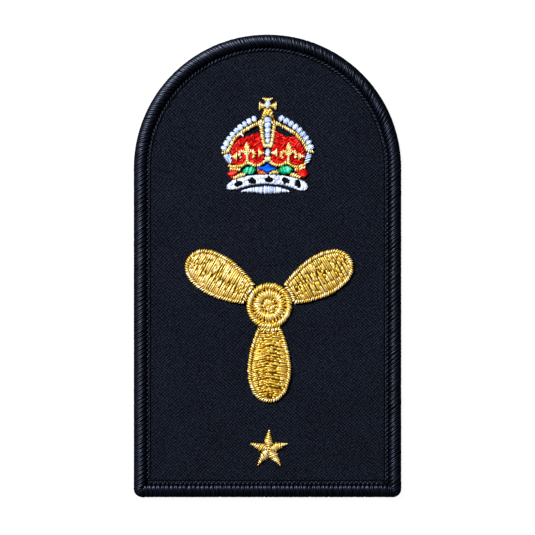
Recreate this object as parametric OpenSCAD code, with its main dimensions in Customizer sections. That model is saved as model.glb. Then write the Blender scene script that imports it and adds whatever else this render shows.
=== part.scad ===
// Embroidered trade badge with an arched top: a stiff navy ground cloth with an overlocked border,
// sewn with a crown, a three bladed propeller and a small star.
// The badge lies on its back: X is its width, Y runs up to the arch, Z comes out of its face.

/* [Badge] */
// Width over the border
badge_w = 60; // [56:0.5:72]
// Height from the straight edge to the top of the arch
badge_h = 103.8; // [100:0.2:124]
// Thickness of the ground cloth with its stiff backing
cloth_t = 1.2; // [1:0.1:1.5]

/* [Border] */
// Width of the overlocked border
border_w = 2.95; // [2.6:0.05:3.4]
// Height of the border
border_h = 2.2; // [2:0.1:2.8]
// How far the edge of the cloth lies inside the border, measured from the outer edge
lip_inset = 1.2; // [1:0.05:1.4]
// Thickness of the cloth where the border grips it
lip_t = 0.5; // [0.3:0.05:0.6]
// Gap between the border and the needle stitch line
chain_gap = 0.27; // [0.15:0.01:0.5]
// Width of the needle stitch line
chain_w = 0.55; // [0.3:0.05:0.7]
// Rise of the needle stitch line above the cloth
chain_rise = 0.25; // [0.1:0.05:0.4]

/* [Propeller] */
// Place of the hub, to the right of the middle of the badge
hub_x = 0.45; // [-1:0.05:1]
// Place of the hub, up from the middle of the badge
hub_y = -8.95; // [-10:0.05:-7]
// Radius of the hub
hub_r = 5.1; // [4.5:0.05:5.3]
// Reach of the two upper blades from the middle of the hub
upper_reach = 21.2; // [20:0.1:22.5]
// Reach of the lower blade from the middle of the hub
lower_reach = 21.7; // [20:0.1:23]
// Widest width of the two upper blades
upper_blade_w = 9.3; // [8.5:0.1:10]
// Widest width of the lower blade
lower_blade_w = 9.6; // [8.5:0.1:10.5]
// Width of the stitched rope round each blade
blade_rope_w = 0.75; // [0.6:0.05:0.9]
// Rise of the stitched rope round each blade
blade_rope_rise = 0.65; // [0.4:0.05:0.9]
// Rise of the filled middle of each blade
blade_fill_rise = 0.5; // [0.3:0.05:0.8]

/* [Star] */
// Place of the star, to the right of the middle of the badge
star_x = 0.35; // [-1:0.05:1]
// Place of the star, up from the middle of the badge
star_y = -41.2; // [-42:0.1:-40]
// Radius to the points of the star
star_r = 4.4; // [3.5:0.1:4.8]

/* [Crown] */
// Width of the crown
crown_w = 20.7; // [17:0.1:24]
// Place of the crown, to the right of the middle of the badge
crown_x = 0.1; // [-1:0.05:1]
// Place of the foot of the crown, up from the middle of the badge
crown_y = 16.3; // [15:0.1:18]
// Width of the gold arches at the sides
arch_w = 0.7; // [0.5:0.02:0.72]
// Length of a pearl, across its row
pearl_l = 1.36; // [1.1:0.02:1.36]
// Width of a pearl, along its row
pearl_w = 0.9; // [0.7:0.02:0.9]
// Rise of a pearl
pearl_rise = 0.6; // [0.4:0.05:0.8]
// Rise of the gold arches
arch_rise = 0.5; // [0.3:0.05:0.7]
// Rise of the flat white and red areas
flat_rise = 0.38; // [0.2:0.02:0.4]
// Rise of a jewel
jewel_rise = 0.5; // [0.3:0.05:0.7]

/* [Hidden] */

gap = 0.05;
seat = 0.03;
smoothness = 96;

navy_cloth = [0.09, 0.11, 0.15];
navy_thread = [0.05, 0.06, 0.09];
gold_thread = [0.85, 0.65, 0.22];
white_thread = [0.88, 0.91, 0.97];
red_thread = [0.85, 0.05, 0.06];
green_thread = [0.05, 0.62, 0.4];
blue_thread = [0.05, 0.25, 0.85];
coral_thread = [0.88, 0.36, 0.12];
black_thread = [0.03, 0.03, 0.04];

half_w = badge_w / 2;
arch_y = badge_h / 2 - half_w;
bottom_y = -badge_h / 2;
sewn_z = cloth_t + seat;
// The embroidery that lies on the caps and on the ermine band starts above their highest rise
upper_lift = 0.42;
upper_z = sewn_z + upper_lift;
// Width of the crown as its tables draw it
drawn_crown_w = 20.7;
crown_scale = crown_w / drawn_crown_w;
chain_inset = border_w + chain_gap + chain_w / 2;

// The border's section is half an ellipse above its widest level, and rounds in to a flat foot below it
bead_half = border_w / 2;
bead_level_share = 0.42;
bead_level = bead_level_share * border_h;
bead_foot_r = 0.6;
bead_steps = 12;
foot_steps = 3;

// Columns: share of the half width, share of the rise
ARCHED = [[-1, 0], [-0.85, 0.6], [-0.4, 0.93], [0.4, 0.93], [0.85, 0.6], [1, 0]];
FLAT = [[-1, 0], [-0.92, 1], [0.92, 1], [1, 0]];
// Columns: share of the outline, share of the rise, for each ring of a domed and of a flat pad
DOMED_RINGS = [[1, 0], [0.96, 0.55], [0.7, 0.9]];
FLAT_RINGS = [[1, 0], [0.96, 1]];

// Columns: share of the way from root to tip, share of the half width
BLADE_ROWS = [
    [0.00, 0.55],
    [0.12, 0.72],
    [0.25, 0.85],
    [0.38, 0.95],
    [0.50, 1.00],
    [0.62, 1.00],
    [0.74, 0.93],
    [0.84, 0.81],
    [0.92, 0.62],
    [0.98, 0.33]
];
// Directions of the blades, anticlockwise from the badge's right
left_blade_angle = 150;
right_blade_angle = 30;
lower_blade_angle = 270;
root_steps = 4;
root_gap = 0.25;
// Least step from a corner at the root to the next point of the outline
corner_step = 0.45;

// Rings of the hub. Columns: inner radius and outer radius as shares of the hub's, rise
HUB_OUTER = [0.77, 1, 0.75];
HUB_INNER = [0.4, 0.72, 0.65];
boss_share = 0.34;
// Columns: share of the boss's radius, height
BOSS = [[0, 0], [1, 0], [0.9, 0.4], [0.5, 0.6], [0, 0.65]];

// Star: radius of the inner corners as a share of the points', rise
star_waist = 0.42;
star_rise = 0.55;
star_points = 5;

// Crown, in millimetres to the right of its middle and up from its foot
// Columns: x, y, half width
ARCH_LEFT = [
    [-1.6, 16.1, 0.8], [-3.3, 15.1, 1], [-4.9, 14.3, 1], [-6.0, 13.6, 1], [-7.1, 12.6, 1],
    [-8.0, 11.4, 1], [-8.4, 10.4, 1], [-8.8, 9.7, 1], [-9.4, 9.15, 1], [-10.4, 9.05, 0.5]
];
ARCH_RIGHT = [
    [1.8, 15.9, 0.8], [3.0, 15.2, 1], [4.4, 14.4, 1], [5.9, 13.6, 1], [7.0, 12.5, 1],
    [8.0, 11.4, 1], [8.4, 10.4, 1], [8.8, 9.8, 1], [9.4, 9.35, 1], [10.3, 9.3, 0.5]
];
MIDDLE_LEFT = [[-1.7, 15.1, 0.3], [-1.25, 13.1, 0.3], [-0.9, 11.1, 0.24]];
MIDDLE_RIGHT = [[1.7, 15.1, 0.3], [1.25, 13.1, 0.3], [0.9, 11.1, 0.24]];
CIRCLET_LEFT = [
    [-8.9, 6.15, 0.28], [-8.0, 6.2, 0.3], [-7.0, 6.1, 0.3], [-6.0, 6.15, 0.3], [-5.0, 6.5, 0.3],
    [-4.2, 6.75, 0.3], [-3.4, 6.5, 0.3], [-2.4, 6.3, 0.3], [-1.2, 6.65, 0.26]
];
CIRCLET_RIGHT = [
    [1.2, 6.6, 0.26], [2.1, 6.4, 0.3], [3.1, 6.7, 0.3], [4.0, 6.8, 0.3], [4.9, 6.55, 0.3],
    [5.8, 6.15, 0.3], [6.7, 6.15, 0.3], [7.6, 6.4, 0.3], [8.5, 6.7, 0.28]
];
RIM_LEFT = [[-8.6, 5.5, 0.22], [-7.4, 5.5, 0.24], [-6.2, 5.4, 0.22]];
RIM_RIGHT = [[6.1, 5.35, 0.2], [7.2, 5.55, 0.22], [8.3, 5.8, 0.2]];
FOOT_ROPE_LEFT = [[-7.6, 3.45, 0.22], [-6.8, 3.85, 0.24], [-5.9, 4.1, 0.24], [-5.2, 4.15, 0.2]];
FOOT_ROPE_RIGHT = [[5.2, 4.15, 0.2], [5.9, 4.15, 0.24], [6.6, 3.95, 0.24], [7.2, 3.65, 0.22]];
ERMINE = [
    [-9.2, 1.3, 0.3], [-8.6, 1.5, 0.75], [-7.8, 1.8, 1.05], [-6.4, 2.25, 1.12], [-4.7, 2.7, 1.1],
    [-2.6, 3.05, 1.05], [0, 3.15, 1.05], [2.6, 3.0, 1.05], [4.7, 2.6, 1.1], [6.3, 2.15, 1.15],
    [7.5, 1.7, 1.15], [8.3, 1.35, 0.8], [8.8, 1.15, 0.35]
];
LINING = [
    [-6.0, 0.65, 0.1], [-4.5, 0.8, 0.3], [-2.5, 0.85, 0.58], [-0.2, 0.83, 0.8],
    [2.0, 0.8, 0.65], [3.6, 0.8, 0.38], [4.9, 0.65, 0.1]
];

// Columns: x, y
CROSS_TOP = [[-1.25, 21.65], [0, 21.55], [1.15, 21.65], [0.7, 21.1], [0.45, 20.8], [-0.5, 20.8], [-0.75, 21.1]];
CROSS_LEFT = [
    [-1.95, 20.8], [-1.35, 20.1], [-0.75, 19.9], [-0.75, 19.35], [-1.35, 19.1], [-1.95, 18.5], [-2.05, 19.6]
];
ORB = [
    [-0.7, 19.0], [0.7, 19.0], [1.1, 18.3], [1.4, 16.75], [1.0, 16.8], [0.45, 17.3], [0, 17.5],
    [-0.45, 17.3], [-1.0, 16.8], [-1.4, 16.75], [-1.1, 18.3]
];
CAP_LEFT = [
    [-2.0, 13.7], [-3.6, 13.2], [-4.9, 12.7], [-5.8, 12.4], [-6.7, 11.7], [-7.4, 11.0], [-7.85, 10.1],
    [-8.15, 9.2], [-8.2, 8.0], [-8.1, 7.0], [-7.4, 6.6], [-6.3, 6.6], [-4.9, 7.05], [-3.6, 7.15],
    [-2.6, 6.85], [-1.5, 7.05], [-0.95, 7.5], [-0.85, 8.6], [-0.95, 9.8], [-1.35, 11.2]
];
CAP_RIGHT = [
    [2.05, 13.85], [2.9, 13.3], [4.2, 12.6], [5.0, 12.6], [6.0, 12.5], [6.5, 11.9], [7.3, 11.1],
    [7.8, 10.1], [8.2, 9.0], [8.2, 7.9], [7.9, 7.2], [7.0, 6.65], [5.9, 6.65], [4.8, 7.1], [3.4, 7.2],
    [2.3, 6.95], [1.5, 7.1], [0.95, 7.6], [0.85, 8.6], [0.95, 9.8], [1.35, 11.2]
];
SIDE_PEARL_LEFT = [
    [-9.85, 8.3], [-9.3, 8.55], [-8.5, 8.9], [-8.45, 7.8], [-8.5, 6.9], [-8.8, 6.7], [-9.35, 7.3]
];
SIDE_PEARL_RIGHT = [
    [8.6, 7.35], [8.75, 8.1], [9.0, 8.75], [9.45, 8.6], [9.8, 8.3], [9.45, 7.5], [9.0, 7.2]
];
HALF_CROSS = [[-0.7, 1.1], [-0.55, 0], [-0.7, -1.1], [0, -0.45], [0.7, 0], [0, 0.45]];
FAR_LEFT_AT = [-7.35, 8.3];
NEAR_LEFT_AT = [-1.55, 9.0];
NEAR_RIGHT_AT = [1.55, 9.05];
FAR_RIGHT_AT = [7.35, 8.3];
RUBY_LEFT = [[-9.1, 4.4], [-8.3, 5.0], [-6.65, 4.85], [-7.35, 4.05], [-8.15, 3.4]];
RUBY_RIGHT = [[6.15, 4.85], [7.6, 5.2], [8.6, 5.35], [9.15, 4.35], [8.4, 3.55], [7.6, 3.6], [6.9, 4.35]];
EMERALD_LEFT = [[-5.75, 4.9], [-4.6, 5.95], [-3.0, 5.85], [-2.7, 4.95], [-3.7, 4.3], [-5.2, 4.55]];
EMERALD_RIGHT = [[2.4, 5.3], [3.3, 6.15], [4.8, 6.05], [5.6, 5.15], [4.7, 4.45], [3.6, 4.3], [2.6, 4.7]];
MIDDLE_FOOT = [[-0.35, 8.15], [0.35, 8.15], [0.5, 7.6], [0.75, 7.1], [-0.75, 7.1], [-0.5, 7.6]];
SAPPHIRE = [
    [-2.35, 5.75], [-0.95, 5.85], [-0.4, 6.3], [0.1, 6.75], [0.5, 6.2], [1.0, 5.8], [1.75, 5.6],
    [0.8, 5.15], [0.1, 4.5], [-0.8, 5.15]
];
CORAL_WEDGE = [[-2.4, 5.4], [-1.2, 5.05], [-0.35, 4.4], [-2.1, 4.35]];
GOLD_WEDGE = [[0.45, 4.5], [1.05, 5.0], [2.1, 5.2], [2.1, 4.4]];

// Middle of each ermine tail, and the outline of one
TAILS = [[-6.7, 2.25], [-3.6, 2.9], [0.15, 3.2], [3.95, 2.8], [6.6, 2.15]];
TAIL = [
    [-0.15, 0.85], [0.2, 0.45], [0.8, 0.1], [0.65, -0.45], [0.1, -0.6], [-0.6, -0.45], [-0.8, 0], [-0.3, 0.35]
];
tail_rise = 0.15;

// Ends of the arc that a row of pearls follows, and the two places that pull it outwards
PEARL_ARC_LEFT = [[-3.05, 16.75], [-6.1, 15.4], [-8.95, 13.3], [-9.85, 10.2]];
PEARL_ARC_RIGHT = [[3.05, 16.75], [6.5, 15.55], [8.3, 13.5], [9.9, 10.35]];
pearls_per_side = 9;
// Small step along the arc, from which a pearl's direction is taken
arc_step = 0.01;
// Oval knots. Columns: x, y, half height, half width
MIDDLE_PEARLS = [
    [0, 16.45, 0.52, 0.85], [0, 15.3, 0.52, 0.72], [0, 14.15, 0.52, 0.65],
    [0, 13.0, 0.52, 0.58], [0, 11.85, 0.52, 0.55]
];
CROSS_PEARL = [0, 19.95, 0.78, 0.62];
MIDDLE_KNOT = [0, 10.6, 0.42, 0.6];
MIDDLE_LOW_PEARL = [0, 9.15, 0.85, 0.6];
oval_points = 12;

// Fleur de lis about its waist: its right side, from below the tip down to the stem. Columns: x, y
FLEUR_SIDE = [
    [0.42, 1.45], [0.6, 0.75], [0.38, 0.1], [0.85, 0.4], [1.4, 0.3], [1.85, -0.3], [1.7, -1.25],
    [1.15, -1.35], [1.22, -0.75], [0.95, -0.45], [0.6, -0.65], [0.32, -1.1], [0.36, -2.1]
];
fleur_tip = [0, 2.1];
// Height below which the stem leans, and its lean
stem_level = -0.8;
stem_lean = 0.15;
fleur_rise = 0.25;
FLEUR_LEFT_AT = [-4.7, 9.4];
FLEUR_RIGHT_AT = [4.7, 9.3];

// Point of a smooth curve between b and c, whose neighbours are a and d
function between(a, b, c, d, t) =
    0.5 * (2 * b + (c - a) * t + (2 * a - 5 * b + 4 * c - d) * t * t
        + (3 * b - a - 3 * c + d) * t * t * t);

// Smooth closed curve through the rows of a table
function smooth_loop(rows, steps) =
    let (n = len(rows))
    [for (i = [0:n - 1]) for (k = [0:steps - 1])
        between(rows[(i + n - 1) % n], rows[i], rows[(i + 1) % n], rows[(i + 2) % n], k / steps)];

// Smooth open curve through the rows of a table
function smooth_path(rows, steps) =
    let (last = len(rows) - 1)
    concat(
        [for (i = [0:last - 1]) for (k = [0:steps - 1])
            between(rows[max(i - 1, 0)], rows[i], rows[i + 1], rows[min(i + 2, last)], k / steps)],
        [rows[last]]
    );

// Point at share t of an arc drawn by four places
function arc_point(p, t) =
    pow(1 - t, 3) * p[0] + 3 * t * pow(1 - t, 2) * p[1] + 3 * t * t * (1 - t) * p[2] + t * t * t * p[3];

// Twice the area of an outline, positive where it runs anticlockwise
function turn(p) =
    let (n = len(p))
    [for (i = [0:n - 1]) p[i].x * p[(i + 1) % n].y - p[(i + 1) % n].x * p[i].y] * [for (i = [0:n - 1]) 1];
function reversed(p) = [for (i = [len(p) - 1:-1:0]) p[i]];
function flipped(rows) = [for (p = rows) [-p.x, p.y]];
function flipped_y(rows) = [for (p = rows) [p.x, -p.y]];
function anticlockwise(p) = turn(p) > 0 ? p : reversed(p);

// Middle of an outline's points
function middle_of(p) = [for (q = p) 1] * p / len(p);

// Direction of a path at row i
function heading(p, i, closed) =
    let (
        n = len(p),
        a = closed ? p[(i + n - 1) % n] : p[max(i - 1, 0)],
        b = closed ? p[(i + 1) % n] : p[min(i + 1, n - 1)],
        d = [b.x - a.x, b.y - a.y]
    )
    d / norm(d);

// Outline of a fleur de lis whose stem leans to one side
function fleur_outline(lean) =
    [for (p = concat([fleur_tip], FLEUR_SIDE, reversed(flipped(FLEUR_SIDE))))
        [p.x + lean * max(0, stem_level - p.y), p.y]];

// Section of the border: distance in from the outer edge, height
function bead_top(from, to) =
    [for (k = [0:bead_steps]) let (a = from + (to - from) * k / bead_steps)
        [bead_half * (1 - cos(a)), bead_level + (border_h - bead_level) * sin(a)]];
function bead_foot() =
    [for (k = [foot_steps:-1:1]) let (a = 90 * k / foot_steps)
        [bead_foot_r * (1 - cos(a)), bead_level * (1 - sin(a))]];
function bead_profile() = concat(bead_foot(), bead_top(0, 180), [[border_w, 0]]);
function bead_outer_profile() = concat(bead_foot(), bead_top(0, 90), [[bead_half, 0]]);

// Section of the needle stitch line
function chain_profile() =
    [for (p = ARCHED) [chain_inset + p[0] * chain_w / 2, sewn_z + p[1] * chain_rise]];

// Outline of a blade drawn in by a distance: along one side, round the tip and back,
// then along an arc beside the hub
function blade_outline(reach, width, inset) =
    let (
        root_r = hub_r + root_gap,
        side = [for (row = BLADE_ROWS) [root_r + row[0] * (reach - root_r), row[1] * width / 2]],
        edge = smooth_path(concat(flipped_y(side), [[reach, 0]], reversed(side)), 2),
        inner = [for (i = [0:len(edge) - 1]) let (d = heading(edge, i, false)) edge[i] + [-d.y, d.x] * inset],
        kept = [for (p = inner) if (norm(p) > root_r + inset + corner_step) p],
        last = kept[len(kept) - 1],
        from = atan2(last.y, last.x),
        to = atan2(kept[0].y, kept[0].x)
    )
    concat(
        kept,
        [for (k = [0:root_steps]) let (a = from + (to - from) * k / root_steps)
            (root_r + inset) * [cos(a), sin(a)]]
    );

// A low pad on the cloth: its outline at the foot, drawn towards its middle as it rises
module pad(outline, rise, z, rings = DOMED_RINGS) {
    loop = anticlockwise(outline);
    n = len(loop);
    last = len(rings) - 1;
    middle = middle_of(loop);
    points = concat(
        [for (ring = rings) for (p = loop)
            [middle.x + ring[0] * (p.x - middle.x), middle.y + ring[0] * (p.y - middle.y), z + ring[1] * rise]],
        [[middle.x, middle.y, z], [middle.x, middle.y, z + rise]]
    );
    under = n * len(rings);
    over = under + 1;
    faces = concat(
        [for (k = [0:last - 1]) for (i = [0:n - 1]) let (j = (i + 1) % n)
            each [[k * n + i, (k + 1) * n + i, (k + 1) * n + j], [k * n + i, (k + 1) * n + j, k * n + j]]],
        [for (i = [0:n - 1]) [under, i, (i + 1) % n]],
        [for (i = [0:n - 1]) [over, last * n + (i + 1) % n, last * n + i]]
    );
    polyhedron(points, faces);
}

// A raised line of satin stitch along a path whose rows are x, y, half width
module column(path, rise, z, section = ARCHED, closed = false) {
    n = len(path);
    m = len(section);
    points = [for (i = [0:n - 1]) let (d = heading(path, i, closed)) for (s = section)
        [path[i].x - d.y * s[0] * path[i][2], path[i].y + d.x * s[0] * path[i][2], z + s[1] * rise]];
    stretches = closed ? n : n - 1;
    walls = [for (i = [0:stretches - 1]) for (j = [0:m - 1])
        let (i2 = (i + 1) % n, j2 = (j + 1) % m)
        each [[i * m + j, i * m + j2, i2 * m + j2], [i * m + j, i2 * m + j2, i2 * m + j]]];
    ends = closed ? [] : [[for (j = [m - 1:-1:0]) j], [for (j = [0:m - 1]) (n - 1) * m + j]];
    polyhedron(points, concat(walls, ends));
}

// Outline of the badge, drawn in by a distance
module badge_outline(inset) {
    translate([0, arch_y])
        circle(half_w - inset, $fn = smoothness);
    translate([inset - half_w, bottom_y + inset])
        square([badge_w - 2 * inset, arch_y - bottom_y - inset]);
}

// A section of distance in from the edge and height, carried over the arch
module over_arch(profile) {
    translate([0, arch_y, 0])
        rotate_extrude(angle = 180, $fn = smoothness)
            polygon([for (p = profile) [half_w - p[0], p[1]]]);
}

// The same down one side, to a distance above the straight edge
module down_side(profile, side, stop) {
    translate([0, arch_y, 0])
        rotate([90, 0, 0])
            linear_extrude(arch_y - bottom_y - stop)
                polygon([for (p = profile) [side * (half_w - p[0]), p[1]]]);
}

// The same along the straight edge, to a distance short of each side
module along_bottom(profile, stop) {
    translate([stop - half_w, bottom_y, 0])
        rotate([90, 0, 90])
            linear_extrude(badge_w - 2 * stop)
                polygon(profile);
}

// Rounded outer corner of the border at the straight edge
module corner(side) {
    translate([side * (half_w - bead_half), bottom_y + bead_half, 0])
        rotate([0, 0, side > 0 ? 270 : 180])
            rotate_extrude(angle = 90, $fn = smoothness)
                polygon([for (p = bead_outer_profile()) [bead_half - p[0], p[1]]]);
}

module ground_cloth() {
    color(navy_cloth) {
        linear_extrude(cloth_t)
            badge_outline(border_w + gap);
        translate([0, 0, (cloth_t - lip_t) / 2])
            linear_extrude(lip_t)
                badge_outline(lip_inset);
    }
}

module edge_border() {
    color(navy_thread)
        difference() {
            union() {
                over_arch(bead_profile());
                down_side(bead_profile(), 1, bead_half);
                down_side(bead_profile(), -1, bead_half);
                along_bottom(bead_profile(), bead_half);
                corner(1);
                corner(-1);
            }
            translate([0, 0, (cloth_t - lip_t) / 2 - gap])
                linear_extrude(lip_t + 2 * gap)
                    badge_outline(lip_inset - gap);
        }
}

module overlock_chain() {
    reach = chain_inset - chain_w / 2;
    color(navy_thread) {
        over_arch(chain_profile());
        down_side(chain_profile(), 1, reach);
        down_side(chain_profile(), -1, reach);
        along_bottom(chain_profile(), reach);
    }
}

// Puts a blade's shape on the badge, turned to its own direction
module at_hub(angle) {
    translate([hub_x, hub_y, 0])
        rotate([0, 0, angle])
            children();
}

module blade_rope(angle, reach, width) {
    loop = blade_outline(reach, width, blade_rope_w / 2);
    color(gold_thread)
        at_hub(angle)
            column([for (p = loop) [p.x, p.y, blade_rope_w / 2]], blade_rope_rise, sewn_z, closed = true);
}

module blade_fill(angle, reach, width) {
    color(gold_thread)
        at_hub(angle)
            pad(blade_outline(reach, width, blade_rope_w + 2 * gap), blade_fill_rise, sewn_z);
}

module blade_fill_left() {
    blade_fill(left_blade_angle, upper_reach, upper_blade_w);
}

module blade_fill_right() {
    blade_fill(right_blade_angle, upper_reach, upper_blade_w);
}

module blade_fill_lower() {
    blade_fill(lower_blade_angle, lower_reach, lower_blade_w);
}

module blade_rope_left() {
    blade_rope(left_blade_angle, upper_reach, upper_blade_w);
}

module blade_rope_right() {
    blade_rope(right_blade_angle, upper_reach, upper_blade_w);
}

module blade_rope_lower() {
    blade_rope(lower_blade_angle, lower_reach, lower_blade_w);
}

// A round ring of satin stitch, from a row of inner share, outer share, rise
module stitched_ring(row) {
    middle = hub_r * (row[0] + row[1]) / 2;
    half = hub_r * (row[1] - row[0]) / 2;
    color(gold_thread)
        translate([hub_x, hub_y, sewn_z])
            rotate_extrude($fn = smoothness)
                polygon([for (s = ARCHED) [middle + s[0] * half, s[1] * row[2]]]);
}

module hub_outer_ring() {
    stitched_ring(HUB_OUTER);
}

module hub_inner_ring() {
    stitched_ring(HUB_INNER);
}

module hub_boss() {
    boss_r = boss_share * hub_r;
    color(gold_thread)
        translate([hub_x, hub_y, sewn_z])
            rotate_extrude($fn = smoothness)
                polygon([for (p = BOSS) [p[0] * boss_r, p[1]]]);
}

module star() {
    half_turn = 180 / star_points;
    points = [for (k = [0:2 * star_points - 1])
        let (r = k % 2 == 0 ? star_r : star_waist * star_r, a = 90 + half_turn * k)
        [r * cos(a), r * sin(a)]];
    color(gold_thread)
        translate([star_x, star_y, 0])
            pad(points, star_rise, sewn_z);
}

// Puts a shape of the crown on the badge
module on_crown() {
    translate([crown_x, crown_y, 0])
        children();
}

function sized(rows) = [for (p = rows) p * crown_scale];

module crown_pad(rows, rise, tint, rings = DOMED_RINGS, z = sewn_z) {
    color(tint)
        on_crown()
            pad(sized(rows), rise, z, rings);
}

module crown_line(rows, rise, tint, section = ARCHED, steps = 2) {
    color(tint)
        on_crown()
            column(sized(smooth_path(rows, steps)), rise, sewn_z, section);
}

function moved(rows, by) = [for (p = rows) p + by];
function with_width(rows, width) = [for (p = rows) [p.x, p.y, p[2] * width]];

// Outline of an oval pearl, turned by an angle
function oval(at, long_half, wide_half, angle) =
    [for (k = [0:oval_points - 1])
        let (a = 360 * k / oval_points, u = long_half * cos(a), v = wide_half * sin(a))
        [at.x + u * cos(angle) - v * sin(angle), at.y + u * sin(angle) + v * cos(angle)]];

// The same standing upright, from a row of x, y, half height, half width
function upright(row) = oval([row[0], row[1]], row[2], row[3], 90);

module cross_arm_top() {
    crown_pad(CROSS_TOP, arch_rise, gold_thread);
}

module cross_arm_left() {
    crown_pad(CROSS_LEFT, arch_rise, gold_thread);
}

module cross_arm_right() {
    crown_pad(flipped(CROSS_LEFT), arch_rise, gold_thread);
}

module cross_pearl() {
    crown_pad(upright(CROSS_PEARL), pearl_rise, white_thread);
}

module orb() {
    crown_pad(ORB, arch_rise, gold_thread);
}

// Pearls along an arc, each set square to it
module pearl_row(arc) {
    for (k = [0:pearls_per_side - 1]) {
        share = k / (pearls_per_side - 1);
        at = arc_point(arc, share);
        next = arc_point(arc, share + arc_step);
        across = atan2(next.x - at.x, at.y - next.y);
        crown_pad(oval(at, pearl_l / 2, pearl_w / 2, across), pearl_rise, white_thread);
    }
}

module pearls_left() {
    pearl_row(PEARL_ARC_LEFT);
}

module pearls_right() {
    pearl_row(PEARL_ARC_RIGHT);
}

module pearls_middle() {
    for (row = MIDDLE_PEARLS)
        crown_pad(upright(row), pearl_rise, white_thread);
}

module arch_left() {
    crown_line(with_width(ARCH_LEFT, arch_w / 2), arch_rise, gold_thread);
}

module arch_right() {
    crown_line(with_width(ARCH_RIGHT, arch_w / 2), arch_rise, gold_thread);
}

module middle_arch_left() {
    crown_line(MIDDLE_LEFT, arch_rise, gold_thread);
}

module middle_arch_right() {
    crown_line(MIDDLE_RIGHT, arch_rise, gold_thread);
}

module middle_knot() {
    crown_pad(upright(MIDDLE_KNOT), arch_rise, gold_thread);
}

module middle_low_pearl() {
    crown_pad(upright(MIDDLE_LOW_PEARL), pearl_rise, white_thread);
}

module middle_foot() {
    crown_pad(MIDDLE_FOOT, arch_rise, gold_thread);
}

module cap_left() {
    crown_pad(smooth_loop(CAP_LEFT, 2), flat_rise, red_thread, FLAT_RINGS);
}

module cap_right() {
    crown_pad(smooth_loop(CAP_RIGHT, 2), flat_rise, red_thread, FLAT_RINGS);
}

module side_pearl_left() {
    crown_pad(SIDE_PEARL_LEFT, jewel_rise, white_thread);
}

module side_pearl_right() {
    crown_pad(SIDE_PEARL_RIGHT, jewel_rise, white_thread);
}

module fleur(at, lean) {
    color(gold_thread)
        on_crown()
            translate([0, 0, upper_z])
                linear_extrude(fleur_rise)
                    polygon(sized(moved(fleur_outline(lean), at)));
}

module fleur_left() {
    fleur(FLEUR_LEFT_AT, stem_lean);
}

module fleur_right() {
    fleur(FLEUR_RIGHT_AT, -stem_lean);
}

module half_cross(at, side) {
    rows = side > 0 ? HALF_CROSS : flipped(HALF_CROSS);
    crown_pad(moved(rows, at), fleur_rise, gold_thread, FLAT_RINGS, upper_z);
}

module half_cross_far_left() {
    half_cross(FAR_LEFT_AT, -1);
}

module half_cross_left() {
    half_cross(NEAR_LEFT_AT, 1);
}

module half_cross_right() {
    half_cross(NEAR_RIGHT_AT, -1);
}

module half_cross_far_right() {
    half_cross(FAR_RIGHT_AT, 1);
}

module circlet_left() {
    crown_line(CIRCLET_LEFT, flat_rise, gold_thread);
}

module circlet_right() {
    crown_line(CIRCLET_RIGHT, flat_rise, gold_thread);
}

module rim_left() {
    crown_line(RIM_LEFT, flat_rise, gold_thread);
}

module rim_right() {
    crown_line(RIM_RIGHT, flat_rise, gold_thread);
}

module foot_rope_left() {
    crown_line(FOOT_ROPE_LEFT, flat_rise, gold_thread);
}

module foot_rope_right() {
    crown_line(FOOT_ROPE_RIGHT, flat_rise, gold_thread);
}

module ruby_left() {
    crown_pad(RUBY_LEFT, jewel_rise, red_thread);
}

module ruby_right() {
    crown_pad(RUBY_RIGHT, jewel_rise, red_thread);
}

module emerald_left() {
    crown_pad(EMERALD_LEFT, jewel_rise, green_thread);
}

module emerald_right() {
    crown_pad(EMERALD_RIGHT, jewel_rise, green_thread);
}

module sapphire() {
    crown_pad(SAPPHIRE, jewel_rise, blue_thread);
}

module coral_wedge() {
    crown_pad(CORAL_WEDGE, flat_rise, coral_thread);
}

module gold_wedge() {
    crown_pad(GOLD_WEDGE, flat_rise, gold_thread);
}

module ermine_band() {
    crown_line(ERMINE, flat_rise, white_thread, FLAT);
}

module ermine_tails() {
    for (at = TAILS)
        crown_pad(moved(TAIL, at), tail_rise, black_thread, DOMED_RINGS, upper_z);
}

module lining() {
    crown_line(LINING, flat_rise, white_thread, FLAT);
}

ground_cloth();
edge_border();
overlock_chain();
blade_fill_left();
blade_fill_right();
blade_fill_lower();
blade_rope_left();
blade_rope_right();
blade_rope_lower();
hub_outer_ring();
hub_inner_ring();
hub_boss();
star();
cross_arm_top();
cross_arm_left();
cross_arm_right();
cross_pearl();
orb();
pearls_left();
pearls_right();
pearls_middle();
arch_left();
arch_right();
middle_arch_left();
middle_arch_right();
middle_knot();
middle_low_pearl();
middle_foot();
cap_left();
cap_right();
side_pearl_left();
side_pearl_right();
fleur_left();
fleur_right();
half_cross_far_left();
half_cross_left();
half_cross_right();
half_cross_far_right();
circlet_left();
circlet_right();
rim_left();
rim_right();
foot_rope_left();
foot_rope_right();
ruby_left();
emerald_left();
sapphire();
emerald_right();
ruby_right();
coral_wedge();
gold_wedge();
ermine_band();
ermine_tails();
lining();
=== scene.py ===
"""Embroidered trade badge: cloth, overlocked border and stitches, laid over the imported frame."""

import logging
import math
from dataclasses import dataclass, field
from enum import Enum
from typing import Union

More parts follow.
